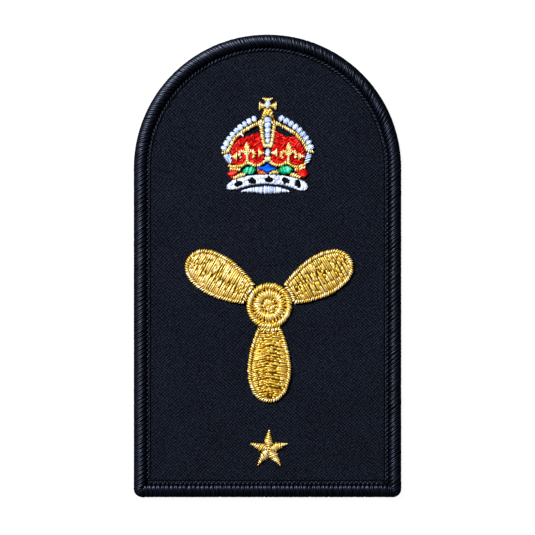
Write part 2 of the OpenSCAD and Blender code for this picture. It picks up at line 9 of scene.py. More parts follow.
import bpy
import numpy as np
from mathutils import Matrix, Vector


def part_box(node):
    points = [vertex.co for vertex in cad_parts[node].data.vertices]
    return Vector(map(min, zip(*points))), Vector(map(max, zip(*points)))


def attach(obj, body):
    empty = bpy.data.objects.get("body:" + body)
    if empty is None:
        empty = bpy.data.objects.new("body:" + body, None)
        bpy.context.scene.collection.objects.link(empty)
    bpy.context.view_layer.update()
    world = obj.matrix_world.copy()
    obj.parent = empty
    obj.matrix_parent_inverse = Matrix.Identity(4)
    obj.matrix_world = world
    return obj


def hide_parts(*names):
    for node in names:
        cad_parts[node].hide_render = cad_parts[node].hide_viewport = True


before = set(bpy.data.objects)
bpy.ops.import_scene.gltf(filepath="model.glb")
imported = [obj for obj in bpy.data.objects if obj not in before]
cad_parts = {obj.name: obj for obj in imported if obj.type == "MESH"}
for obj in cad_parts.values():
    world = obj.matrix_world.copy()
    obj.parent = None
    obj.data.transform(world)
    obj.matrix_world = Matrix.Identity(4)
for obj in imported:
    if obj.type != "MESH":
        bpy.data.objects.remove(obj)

Colour = tuple[float, float, float]
Array = np.ndarray
Rows = tuple[tuple[float, ...], ...]
Pair = tuple[float, float]
Rng = np.random.Generator

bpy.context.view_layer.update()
MM = 0.001
BODY = "root"

# The badge's driving dimensions in millimetres, from the border's solid: half its width, the
# height of its foot and of the arch's centre, and its top
LOWEST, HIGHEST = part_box("edge_border")
HALF_W = round(HIGHEST.x / MM, 2)
BOTTOM_Y = round(LOWEST.y / MM, 2)
ARCH_Y = round(HIGHEST.y / MM, 2) - HALF_W
BORDER_TOP = round(HIGHEST.z / MM, 2)

# The cloth's face, and the level at which stitches leave it
FACE = 1.2
SEWN = FACE + 0.03

# The propeller's middle
HUB_PLACE = (0.45, -8.95)

TURN = 2 * math.pi

logging.basicConfig(level=logging.INFO, format="%(message)s")
log = logging.getLogger("badge")


class Slot(Enum):
    """Material slots, one for each kind of thread and the cloth."""

    CLOTH = "navy_cloth"
    NAVY = "navy_thread"
    GOLD = "gold_thread"
    WHITE = "white_thread"
    RED = "red_thread"
    GREEN = "green_thread"
    BLUE = "blue_thread"
    CORAL = "coral_thread"
    BLACK = "black_thread"


# Shader maths


class Wire:
    """A node socket whose arithmetic adds Math nodes to its tree."""

    def __init__(self, shader: "Shader", socket: bpy.types.NodeSocket) -> None:
        """Wraps the output of a node in a material."""
        self.shader = shader
        self.socket = socket

    def maths(self, operation: str, *values: "Value") -> "Wire":
        """Output of a new Math node with an operation and its inputs in order."""
        return self.shader.node("ShaderNodeMath", {"operation": operation}, dict(enumerate(values)))

    def __add__(self, other: "Value") -> "Wire":
        """This value plus another."""
        return self.maths("ADD", self, other)

    __radd__ = __add__

    def __sub__(self, other: "Value") -> "Wire":
        """This value less another."""
        return self.maths("SUBTRACT", self, other)

    def __rsub__(self, other: "Value") -> "Wire":
        """Another value less this one."""
        return self.maths("SUBTRACT", other, self)

    def __mul__(self, other: "Value") -> "Wire":
        """This value times another."""
        return self.maths("MULTIPLY", self, other)

    __rmul__ = __mul__

    def __truediv__(self, other: "Value") -> "Wire":
        """This value over another."""
        return self.maths("DIVIDE", self, other)

    def sine(self) -> "Wire":
        """Sine of this value, in radians."""
        return self.maths("SINE", self)

    def floor(self) -> "Wire":
        """The whole number below this value."""
        return self.maths("FLOOR", self)

    def lowest(self, other: "Value") -> "Wire":
        """The lower of this value and another."""
        return self.maths("MINIMUM", self, other)

    def highest(self, other: "Value") -> "Wire":
        """The higher of this value and another."""
        return self.maths("MAXIMUM", self, other)

    def step(self, low: float, high: float) -> "Wire":
        """A smooth step, 0 where this value is low or less and 1 where it is high or more."""
        return self.shader.node("ShaderNodeMapRange", {"interpolation_type": "SMOOTHSTEP"},
                                {"Value": self, "From Min": low, "From Max": high})


Value = Union[Wire, float, int, tuple]


class Shader:
    """A material's node tree."""

    def __init__(self, name: str) -> None:
        """Starts a material by name, with no nodes."""
        self.material = bpy.data.materials.new(name)
        self.material.use_nodes = True
        self.tree = self.material.node_tree
        self.tree.nodes.clear()

    def node(self, kind: str, settings: dict[str, object] | None = None,
             values: dict[str | int, Value] | None = None, output: str | int = 0) -> Wire:
        """Adds a node of any type.

        Args:
            kind: The node's type.
            settings: Its own settings, set first; stops is a colour ramp's list of place and colour.
            values: What goes into its inputs, as values or as other nodes' outputs.
            output: The output that is handed back.

        Returns:
            That output.
        """
        made = self.tree.nodes.new(kind)
        for key, setting in (settings or {}).items():
            if key == "stops":
                ramp = made.color_ramp
                while len(ramp.elements) < len(setting):
                    ramp.elements.new(0.5)
                for element, (place, colour) in zip(ramp.elements, setting):
                    element.position = place
                    element.color = (*colour, 1.0)
            else:
                setattr(made, key, setting)
        for key, value in (values or {}).items():
            if isinstance(value, Wire):
                self.tree.links.new(value.socket, made.inputs[key])
            else:
                made.inputs[key].default_value = value
        return Wire(self, made.outputs[output] if len(made.outputs) else None)

    def coordinates(self) -> Wire:
        """Object coordinates, in metres."""
        return self.node("ShaderNodeTexCoord", output="Object")

    def axis(self, vector: Wire, name: str) -> Wire:
        """One part of a vector, by the name X, Y or Z."""
        return self.node("ShaderNodeSeparateXYZ", {}, {"Vector": vector}, name)

    def noise(self, size_mm: float, detail: float, vector: Wire | None = None) -> Wire:
        """Smooth noise from 0 to 1: features size_mm wide, and as many finer layers as detail."""
        return self.node("ShaderNodeTexNoise", {}, {
            "Vector": vector or self.coordinates(), "Scale": 1.0 / (size_mm * MM), "Detail": detail})

    def ramp(self, factor: Wire, stops: list[tuple[float, Colour]]) -> Wire:
        """Colour of a factor, from a list of place and colour."""
        return self.node("ShaderNodeValToRGB", {"stops": stops}, {"Fac": factor}, "Color")

    def tinted(self, factor: Value, low: Value, high: Value) -> Wire:
        """A mix of two colours by a factor."""
        return self.node("ShaderNodeMix", {"data_type": "RGBA"}, {0: factor, 6: low, 7: high}, 2)

    def bump(self, height: Wire, distance_mm: float, strength: float = 1.0) -> Wire:
        """A normal bent by a height from 0 to 1, where 1 stands distance_mm high."""
        return self.node("ShaderNodeBump", {}, {
            "Height": height, "Distance": distance_mm * MM, "Strength": strength}, "Normal")

    def finish(self, values: dict[str | int, Value]) -> bpy.types.Material:
        """Ends the tree in a Principled shader.

        Args:
            values: What goes into the shader's inputs.

        Returns:
            The finished material.
        """
        surface = self.node("ShaderNodeBsdfPrincipled", {}, values)
        self.node("ShaderNodeOutputMaterial", {}, {"Surface": surface})
        return self.material


@dataclass(frozen=True)
class ThreadFinish:
    """Shiny embroidery thread: twisted filaments, whose facets and filaments bump its normal.

    The map called thread runs along a thread in millimetres and once round it, from a whole
    number that is its own. One factor, shares of the thread's facets, tone and grain, takes its
    colour from the groove by way of deep and body to bright, and its roughness from rough_share
    above the least down to it. In the colour the facets are painted glints along the thread, the
    groove stop is painted shade, the deep stop partly painted shade and the bright stop painted
    highlight; the grain is the thread's own uneven tone, and the tone holds each thread's random
    tone and the painted shade that the stitching adds.
    """

    slot: Slot
    name: str
    deep: Colour
    body: Colour
    bright: Colour
    metallic: float = 0.0
    roughness: float = 0.45
    specular: float = 0.12
    tint: Colour = (1.0, 1.0, 1.0)
    facet_mm: float = 0.5
    # Share of the facets' painted glints in the colour
    painted_glint_share: float = 0.25
    tone_share: float = 0.5
    noise_share: float = 0.4
    noise_mm: float = 0.35
    filament_mm: float = 0.012
    # Share of the deep colour that the painted shade of the groove keeps
    painted_groove_share: float = 0.25
    rough_share: float = 0.0
    # How far a thread's facets lie ahead of the last thread's, and the filaments' turns a
    # millimetre and round the thread
    facet_lag: float = 2.4
    filament_turns: Pair = (2.2, 5.0)
    # The grain's distance from the last thread's, in metres, and its contrast and level
    grain_apart: float = 0.0071
    grain_gain: float = 2.4
    grain_less: float = 0.7

    def material(self) -> bpy.types.Material:
        """The material, which reads the map called thread and the attribute called tone."""
        shader = Shader(self.name)
        place = shader.node("ShaderNodeUVMap", {"uv_map": "thread"})
        along = shader.axis(place, "X")
        around = shader.axis(place, "Y")
        tone = shader.node("ShaderNodeAttribute", {"attribute_name": "tone"}, output="Fac")
        own = around.floor()
        # The facets: painted glints in the colour, and with the filaments a bump in the normal
        wave = along * (TURN / self.facet_mm) + around * TURN + own * self.facet_lag
        facet = wave.sine() * 0.5 + 0.5
        seat = shader.node("ShaderNodeCombineXYZ", {}, {"X": along * MM, "Y": own * self.grain_apart})
        grain = shader.noise(self.noise_mm, 3.0, seat) * self.grain_gain - self.grain_less
        spread = self.painted_glint_share + self.tone_share + self.noise_share
        factor = facet * (self.painted_glint_share / spread) + tone * (self.tone_share / spread) \
            + grain * (self.noise_share / spread)
        # The groove stop is painted shade between threads, the bright stop painted highlight
        groove = tuple(self.painted_groove_share * part for part in self.deep)
        colour = shader.ramp(factor, [(0.0, groove), (0.2, self.deep), (0.5, self.body),
                                      (0.86, self.bright)])
        lengthwise, round_it = self.filament_turns
        filaments = (along * (TURN * lengthwise) + around * (TURN * round_it)).sine() * 0.5 + 0.5
        height = filaments * 0.5 + facet * 0.5
        roughness = self.roughness
        if self.rough_share:
            roughness = (1 - factor) * self.rough_share + self.roughness
        return shader.finish({
            "Base Color": colour,
            "Metallic": self.metallic,
            "Roughness": roughness,
            "Specular IOR Level": self.specular,
            "Specular Tint": (*self.tint, 1.0),
            "Normal": shader.bump(height, self.filament_mm, 0.6),
        })


@dataclass(frozen=True)
class ClothFinish:
    """Close plain weave, with painted shade in the needle grooves beside the border."""

    slot: Slot = Slot.CLOTH
    name: str = "navy_plain_weave"
    deep: Colour = (0.0010, 0.0012, 0.0026)
    body: Colour = (0.0040, 0.0052, 0.0099)
    bright: Colour = (0.0140, 0.0181, 0.0300)
    # Painted shade of the needle grooves beside the border
    groove: Colour = (0.0008, 0.0009, 0.0014)
    weave_per_mm: Pair = (1.24, 1.31)
    falling_share: float = 0.53
    height_mm: float = 0.05
    # Distances in from the outer edge: where the painted shade of the groove against the border
    # ends, and where that of the groove outside the needle stitches starts and ends
    inner_groove: Pair = (2.95, 3.25)
    outer_groove: tuple[float, float, float, float] = (3.55, 3.68, 3.78, 3.98)
    # Share of the weave and of the patches in the colour's factor, and what is taken from it
    shares: tuple[float, float, float] = (0.95, 0.70, 0.675)

    def edge_distance(self, shader: Shader) -> Wire:
        """Distance in from the outer edge, in millimetres.

        It is the lower of the height above the foot, and half the width less the length of the
        vector (x, height above the arch's centre or 0).

        Args:
            shader: The material that the nodes go in.

        Returns:
            The distance.
        """
        here = shader.coordinates()
        x = shader.axis(here, "X") * (1 / MM)
        y = shader.axis(here, "Y") * (1 / MM)
        above = (y - ARCH_Y).highest(0.0)
        flat = shader.node("ShaderNodeCombineXYZ", {}, {"X": x, "Y": above})
        reach = shader.node("ShaderNodeVectorMath", {"operation": "LENGTH"}, {0: flat}, "Value")
        return (HALF_W - reach).lowest(y - BOTTOM_Y)

    def bend(self, shader: Shader, wide_mm: float, narrow_mm: float) -> Wire:
        """How far noise of two sizes shifts a set of the weave's waves, in radians."""
        return (shader.noise(wide_mm, 2.0) - 0.5) * 7.0 + (shader.noise(narrow_mm, 1.0) - 0.5) * 6.5

    def material(self) -> bpy.types.Material:
        """The cloth's material, on object coordinates.

        The weave is the sum of two sets of waves that cross at right angles, the set that falls
        to the right being the stronger, each bent a little by noise. It bumps the normal, and its
        light and dark in the colour are painted highlight and shade of the yarns. The needle grooves
        along the border are painted shade.
        """
        shader = Shader(self.name)
        here = shader.coordinates()
        wander = self.bend(shader, 3.4, 0.6)
        drift = self.bend(shader, 2.3, 0.7)
        x = shader.axis(here, "X") * (TURN / MM * self.weave_per_mm[0])
        y = shader.axis(here, "Y") * (TURN / MM * self.weave_per_mm[1])
        falling = (x + y + wander).sine()
        rising = (y - x + drift).sine()
        share = (shader.noise(3.5, 1.0) - 0.5) * 1.2 + self.falling_share
        weave = falling * share * 0.5 + rising * (1 - share) * 0.5 + 0.5
        patches = shader.noise(9.0, 2.0) * 0.3 + shader.noise(0.27, 1.0) * 1.7
        woven_share, patch_share, less = self.shares
        factor = weave * woven_share + patches * patch_share - less
        # The weave's light and dark in the colour are painted highlight and shade of the yarns
        woven = shader.ramp(factor, [(0.08, self.deep), (0.5, self.body), (0.92, self.bright)])
        # Painted shade: dark in the groove against the border and in a line outside the needle
        # stitches
        edge = self.edge_distance(shader)
        low, high = self.inner_groove
        near = 1 - edge.step(low, high)
        a, b, c, d = self.outer_groove
        line = edge.step(a, b) * (1 - edge.step(c, d)) * (0.6 + shader.noise(0.9, 1.0) * 0.9)
        dark = near.highest(line).lowest(1.0)
        return shader.finish({
            "Base Color": shader.tinted(dark, woven, (*self.groove, 1.0)),
            "Roughness": 0.92,
            "Specular IOR Level": 0.03,
            "Normal": shader.bump(weave, self.height_mm, 0.9),
        })


Finish = Union[ThreadFinish, ClothFinish]


class Finishes:
    """Every finish of the badge."""

    navy = ThreadFinish(
        Slot.NAVY, "navy_border_thread", (0.0006, 0.0008, 0.0018), (0.0016, 0.0021, 0.0046),
        (0.0046, 0.0060, 0.0116), roughness=0.30, specular=0.30, tint=(0.58, 0.68, 1.0),
        facet_mm=0.9, painted_glint_share=0.1, tone_share=0.6, noise_share=0.3, filament_mm=0.001,
        rough_share=0.14)
    # Near black thread of the border's core: painted shade that fills the gaps between strands
    shade = ThreadFinish(
        Slot.NAVY, "navy_shaded_thread", (0.0002, 0.0002, 0.0004), (0.0008, 0.0010, 0.0020),
        (0.0014, 0.0018, 0.0036), roughness=0.7, specular=0.02)
    needle = ThreadFinish(
        Slot.NAVY, "navy_needle_thread", (0.006, 0.007, 0.013), (0.022, 0.028, 0.050),
        (0.048, 0.064, 0.110), roughness=0.4, tint=(0.6, 0.75, 1.0))
    gold = ThreadFinish(
        Slot.GOLD, "gold_metallic_thread", (0.44, 0.175, 0.001), (0.80, 0.51, 0.036),
        (0.98, 0.91, 0.60), metallic=0.3, roughness=0.31, specular=0.40, tint=(0.96, 0.86, 0.56),
        facet_mm=0.9, painted_glint_share=0.2, tone_share=0.6, noise_share=0.45, noise_mm=0.4)
    satin_gold = ThreadFinish(
        Slot.GOLD, "gold_satin_thread", (0.44, 0.18, 0.002), (0.79, 0.53, 0.062),
        (0.96, 0.88, 0.62), metallic=0.25, roughness=0.34, specular=0.34, tint=(0.96, 0.85, 0.56),
        facet_mm=0.7, painted_glint_share=0.1, tone_share=0.6, noise_share=0.45, noise_mm=0.32)
    pale_gold = ThreadFinish(
        Slot.GOLD, "pale_gold_thread", (0.66, 0.28, 0.02), (0.86, 0.62, 0.13),
        (1.0, 0.98, 0.62), metallic=0.2, roughness=0.35, specular=0.4, tint=(1.0, 0.85, 0.5),
        facet_mm=0.9, painted_glint_share=0.2, painted_groove_share=0.4)
    # The white and pearl threads' blue deep stops are the blue of painted shade
    white = ThreadFinish(
        Slot.WHITE, "white_silky_thread", (0.32, 0.42, 0.70), (0.70, 0.78, 0.93),
        (0.90, 0.93, 0.98), roughness=0.4, painted_glint_share=0.12)
    pearl = ThreadFinish(
        Slot.WHITE, "white_pearl_thread", (0.26, 0.37, 0.76), (0.58, 0.71, 0.95),
        (0.92, 0.95, 1.0), roughness=0.38, painted_glint_share=0.12, tone_share=0.6)
    red = ThreadFinish(
        Slot.RED, "red_silky_thread", (0.38, 0.0002, 0.0004), (0.72, 0.004, 0.0045),
        (0.93, 0.085, 0.065), roughness=0.42, specular=0.02)
    ruby = ThreadFinish(
        Slot.RED, "bright_red_silky_thread", (0.48, 0.0005, 0.001), (0.86, 0.009, 0.008),
        (1.0, 0.11, 0.09), roughness=0.4, specular=0.03, painted_glint_share=0.08)
    green = ThreadFinish(
        Slot.GREEN, "green_silky_thread", (0.001, 0.09, 0.022), (0.003, 0.44, 0.19),
        (0.19, 0.96, 0.74), roughness=0.36, specular=0.04, painted_glint_share=0.08)
    blue = ThreadFinish(
        Slot.BLUE, "blue_silky_thread", (0.001, 0.014, 0.32), (0.002, 0.08, 0.72),
        (0.008, 0.22, 1.0), roughness=0.36, specular=0.03, painted_glint_share=0.08)
    coral = ThreadFinish(
        Slot.CORAL, "coral_silky_thread", (0.42, 0.03, 0.004), (0.88, 0.15, 0.025),
        (1.0, 0.72, 0.42), roughness=0.42, painted_glint_share=0.3, noise_share=0.5)
    black = ThreadFinish(
        Slot.BLACK, "black_silky_thread", (0.0003, 0.0003, 0.0006), (0.0012, 0.0012, 0.0024),
        (0.005, 0.005, 0.009), roughness=0.5, specular=0.05)


# Meshes of thread


@dataclass
class Surface:
    """Arrays of a mesh: corners, quads, triangles, places on the map of every face corner, tone."""

    corners: Array
    quads: Array
    triangles: Array
    quad_map: Array
    triangle_map: Array
    tone: Array

    @staticmethod
    def of_quads(corners: Array, quads: Array, places: Array, tone: Array) -> "Surface":
        """A surface of quads alone."""
        return Surface(corners, quads, np.zeros((0, 3), int), places, np.zeros((0, 3, 2)), tone)

    @staticmethod
    def joined(parts: list["Surface"]) -> "Surface":
        """Several surfaces as one, whose faces count on through the parts."""
        starts = np.cumsum([0] + [len(part.corners) for part in parts[:-1]])
        return Surface(
            np.concatenate([part.corners for part in parts]),
            np.concatenate([part.quads + start for part, start in zip(parts, starts)]),
            np.concatenate([part.triangles + start for part, start in zip(parts, starts)]),
            np.concatenate([part.quad_map for part in parts]),
            np.concatenate([part.triangle_map for part in parts]),
            np.concatenate([part.tone for part in parts]),
        )

    def piece(self, name: str, finish: "Finish", *nodes: str) -> bpy.types.Object:
        """Puts the surface into the scene.

        Args:
            name: The piece's name.
            finish: Its finish, which gives its material.
            nodes: The frame's nodes that it stands for.

        Returns:
            The piece, riding on the body.
        """
        mesh = bpy.data.meshes.new(name)
        loops = np.concatenate([self.quads.ravel(), self.triangles.ravel()]).astype(np.int32)
        sizes = np.concatenate([np.full(len(self.quads), 4), np.full(len(self.triangles), 3)])
        mesh.vertices.add(len(self.corners))
        mesh.vertices.foreach_set("co", (self.corners * MM).astype(np.float32).ravel())
        mesh.loops.add(len(loops))
        mesh.loops.foreach_set("vertex_index", loops)
        mesh.polygons.add(len(sizes))
        mesh.polygons.foreach_set("loop_start", (np.cumsum(sizes) - sizes).astype(np.int32))
        mesh.update(calc_edges=True)
        layer = mesh.uv_layers.new(name="thread")
        places = np.concatenate([self.quad_map.reshape(-1, 2), self.triangle_map.reshape(-1, 2)])
        layer.data.foreach_set("uv", places.astype(np.float32).ravel())
        tone = mesh.attributes.new("tone", "FLOAT", "POINT")
        tone.data.foreach_set("value", self.tone.astype(np.float32))
        mesh.polygons.foreach_set("use_smooth", np.ones(len(sizes), bool))
        mesh.materials.append(finish.material())
        made = bpy.data.objects.new(name, mesh)
        bpy.context.scene.collection.objects.link(made)
        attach(made, BODY)
        if nodes:
            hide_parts(*nodes)
        log.info("%s: %d triangles", name, 2 * len(self.quads) + len(self.triangles))
        return made


def unit(vectors: Array) -> Array:
    """Vectors of length 1, along the last axis."""
    return vectors / np.maximum(np.linalg.norm(vectors, axis=-1, keepdims=True), 1e-9)


def tubes(centre: Array, up: Array, half_width: Array, half_thick: Array, tone: Array,
          sides: int = 6, painted_end_shade: float = 0.0, painted_side_shade: float = 0.0,
          end_power: float = 4.0) -> Surface:
    """Closed tubes of oval section along many lines at once.

    A corner is the line's point plus the sideways vector times the half width times the cosine of
    the angle round the section, plus the upward vector times the half thickness times its sine.

    Args:
        centre: Points by line, point and axis.
        up: Upward direction at each point.
        half_width: Half width at each point.
        half_thick: Half thickness at each point.
        tone: Tone of each line, from 0 to 1.
        sides: Corners of the section.
        painted_end_shade: How far the tone falls at the ends, as painted shade.
        painted_side_shade: Painted shade on the section's sides, by 1 less the sine of the angle.
        end_power: Power of the distance from the middle, for the painted shade at the ends.

    Returns:
        The tubes, with a point at each end.
    """
    lines, points = centre.shape[:2]
    heading = unit(np.gradient(centre, axis=1))
    upward = unit(up - heading * np.sum(up * heading, axis=-1, keepdims=True))
    sideways = np.cross(heading, upward)
    angle = np.arange(sides) * TURN / sides
    ring = centre[:, :, None] \
        + sideways[:, :, None] * (half_width[:, :, None] * np.cos(angle))[..., None] \
        + upward[:, :, None] * (half_thick[:, :, None] * np.sin(angle))[..., None]
    past = half_thick[:, [0, -1]] * [-0.6, 0.6]
    ends = centre[:, [0, -1]] + heading[:, [0, -1]] * past[..., None]
    corners = np.concatenate([ring.reshape(lines, -1, 3), ends], axis=1)
    per_line = points * sides + 2
    first = (np.arange(lines) * per_line)[:, None, None]
    i = np.arange(points - 1)[:, None]
    j = np.arange(sides)[None, :]
    after = (j + 1) % sides
    quads = np.stack([i * sides + j, (i + 1) * sides + j,
                      (i + 1) * sides + after, i * sides + after], -1)
    quads = (first[..., None] + quads[None]).reshape(-1, 4)
    last = (points - 1) * sides
    k = np.arange(sides)
    turn = (k + 1) % sides
    caps = np.concatenate([
        np.stack([np.full(sides, points * sides), k, turn], -1),
        np.stack([np.full(sides, points * sides + 1), last + turn, last + k], -1)])
    caps = (first + caps[None]).reshape(-1, 3)
    step = np.linalg.norm(np.diff(centre, axis=1), axis=-1)
    along = np.concatenate([np.zeros((lines, 1)), np.cumsum(step, axis=1)], axis=1)
    here = along[:, :-1, None] + np.zeros(sides)
    there = along[:, 1:, None] + np.zeros(sides)
    own = np.arange(lines)[:, None, None]
    low, high = (np.broadcast_to((j + k) / sides + own, here.shape) for k in (0, 1))
    quad_map = np.stack([np.stack(pair, -1) for pair in (
        (here, low), (there, low), (there, high), (here, high))], -2)
    cap_along = np.stack([np.repeat(along[:, :1], sides, 1), np.repeat(along[:, -1:], sides, 1)], 1)
    cap_map = np.stack([cap_along, k / sides + own + np.zeros(cap_along.shape)], -1)
    cap_map = np.repeat(cap_map[..., None, :], 3, axis=-2)
    # Painted shade: the tone falls toward the ends and on the section's lower sides
    drop = painted_end_shade * np.abs(np.linspace(-1, 1, points)) ** end_power
    side = painted_side_shade * (1 - np.maximum(np.sin(angle), 0))
    tones = (tone[:, None, None] - drop[:, None] - side).reshape(lines, -1)
    tones = np.concatenate([tones, np.repeat(tone[:, None] - painted_end_shade - painted_side_shade, 2, 1)], axis=1)
    return Surface(corners.reshape(-1, 3), quads, caps, quad_map.reshape(-1, 4, 2),
                   cap_map.reshape(-1, 3, 2), tones.ravel())


@dataclass
class Stitches:
    """Straight stitches from start to end, in plan, in millimetres.

    A stitch's share is its place in its shape, from 0 at the first stitch to 1 at the last.
    """

    start: Array
    end: Array
    share: Array

    def length(self) -> Array:
        """Length of each stitch."""
        return np.linalg.norm(self.end - self.start, axis=-1)

    def kept(self, mask: Array) -> "Stitches":
        """The stitches that a mask picks."""
        return Stitches(self.start[mask], self.end[mask], self.share[mask])

    def moved(self, by: Pair) -> "Stitches":
        """The stitches moved in plan."""
        return Stitches(self.start + by, self.end + by, self.share)

    def turned(self, degrees: float) -> "Stitches":
        """The stitches turned about the origin."""
        return Stitches(turned(self.start, degrees), turned(self.end, degrees), self.share)

    def split(self, at: Array, gap: Array | float) -> "Stitches":
        """Each stitch as two, parted at a share of its length by a gap, below 0 where they lap."""
        way = self.end - self.start
        return Stitches(
            np.concatenate([self.start, self.start + way * (at + gap / 2)[:, None]]),
            np.concatenate([self.start + way * (at - gap / 2)[:, None], self.end]),
            np.concatenate([self.share, self.share]))

    @staticmethod
    def joined(parts: list["Stitches"]) -> "Stitches":
        """Several sets of stitches as one."""
        return Stitches(np.concatenate([part.start for part in parts]),
                        np.concatenate([part.end for part in parts]),
                        np.concatenate([part.share for part in parts]))


def turned(points: Array, degrees: float) -> Array:
    """Points in plan turned about the origin, anticlockwise."""
    a = math.radians(degrees)
    return points @ np.array([[math.cos(a), math.sin(a)], [-math.sin(a), math.cos(a)]])


def circle(count: int, radius: float) -> Array:
    """Points round a circle about the origin."""
    angle = np.linspace(0, TURN, count, endpoint=False)
    return radius * np.stack([np.cos(angle), np.sin(angle)], -1)


def smooth(rows: Array, steps: int, closed: bool = False) -> Array:
    """Smooth curve through the rows of a table, in all its columns.

    Between rows b and c, whose neighbours are a and d, it is half of 2b + (c - a)t
    + (2a - 5b + 4c - d)tt + (3b - a - 3c + d)ttt.

    Args:
        rows: The table.
        steps: Points from one row to the next.
        closed: Whether the last row leads back to the first.

    Returns:
        The curve's points.
    """
    count = len(rows)
    spans = np.arange(count if closed else count - 1)

    def row(k: Array) -> Array:
        """Rows by number, wrapped round or held at the ends."""
        return rows[k % count if closed else np.clip(k, 0, count - 1)][:, None]

    a, b, c, d = row(spans - 1), row(spans), row(spans + 1), row(spans + 2)
    t = (np.arange(steps) / steps)[None, :, None]
    curve = 0.5 * (2 * b + (c - a) * t + (2 * a - 5 * b + 4 * c - d) * t ** 2
                   + (3 * b - a - 3 * c + d) * t ** 3)
    points = curve.reshape(-1, rows.shape[1])
    return points if closed else np.concatenate([points, rows[-1:]])


def across(path: Array, pitch: float, slant: float = 0.0, closed: bool = False) -> Stitches:
    """Satin stitches across a path, from one side to the other.

    Args:
        path: Rows of x, y and half width.
        pitch: Distance from one stitch to the next.
        slant: How far each end is shifted along the path, as a share of the half width.
        closed: Whether the path is a loop.

    Returns:
        The stitches.
    """
    rows = np.concatenate([path, path[:1]]) if closed else path
    run = np.concatenate([[0], np.cumsum(np.linalg.norm(np.diff(rows[:, :2], axis=0), axis=1))])
    total = run[-1]
    count = max(2, round(total / pitch))
    middle = (np.arange(count) + 0.5) * total / count

    def at(place: Array, column: int) -> Array:
        """One column of the path at distances along it."""
        wrapped = place % total if closed else np.clip(place, 0, total)
        return np.interp(wrapped, run, rows[:, column])

    def side(place: Array, sign: float) -> Array:
        """The path's edge at distances along it."""
        nudge = 0.02 * total / count + 1e-4
        ahead = np.stack([at(place + nudge, 0) - at(place - nudge, 0),
                          at(place + nudge, 1) - at(place - nudge, 1)], -1)
        ahead = unit(ahead)
        outward = np.stack([-ahead[:, 1], ahead[:, 0]], -1) * sign
        return np.stack([at(place, 0), at(place, 1)], -1) + outward * at(middle, 2)[:, None]

    shift = at(middle, 2) * slant
    return Stitches(side(middle + shift, 1.0), side(middle - shift, -1.0), middle / total)


def scanned(outline: Array, degrees: float, pitch: float) -> Stitches:
    """Parallel stitches that fill an outline.

    The outline is turned so that the stitches lie level; at each height the places where the
    outline crosses it are sorted, and every second gap between them is a stitch.

    Args:
        outline: Corners in plan.
        degrees: Direction of the stitches.
        pitch: Distance between them.

    Returns:
        The stitches, with their share of the way from the first line to the last.
    """
    level = turned(outline, -degrees)
    low, high = level[:, 1].min(), level[:, 1].max()
    count = max(1, round((high - low) / pitch))
    heights = low + (np.arange(count) + 0.5) * (high - low) / count
    a, b = level, np.roll(level, -1, axis=0)
    crosses = (a[:, 1] <= heights[:, None]) != (b[:, 1] <= heights[:, None])
    rise = np.where(np.abs(b[:, 1] - a[:, 1]) < 1e-9, 1.0, b[:, 1] - a[:, 1])
    x = a[:, 0] + (heights[:, None] - a[:, 1]) / rise * (b[:, 0] - a[:, 0])
    x = np.sort(np.where(crosses, x, np.inf), axis=1)
    x = x[:, :2 * (x.shape[1] // 2)]
    start, end = x[:, 0::2], x[:, 1::2]
    line, _ = real = np.nonzero(np.isfinite(start) & np.isfinite(end))
    share = (heights[line] - low) / (high - low)
    return Stitches(turned(np.stack([start[real], heights[line]], -1), degrees),
                    turned(np.stack([end[real], heights[line]], -1), degrees), share)


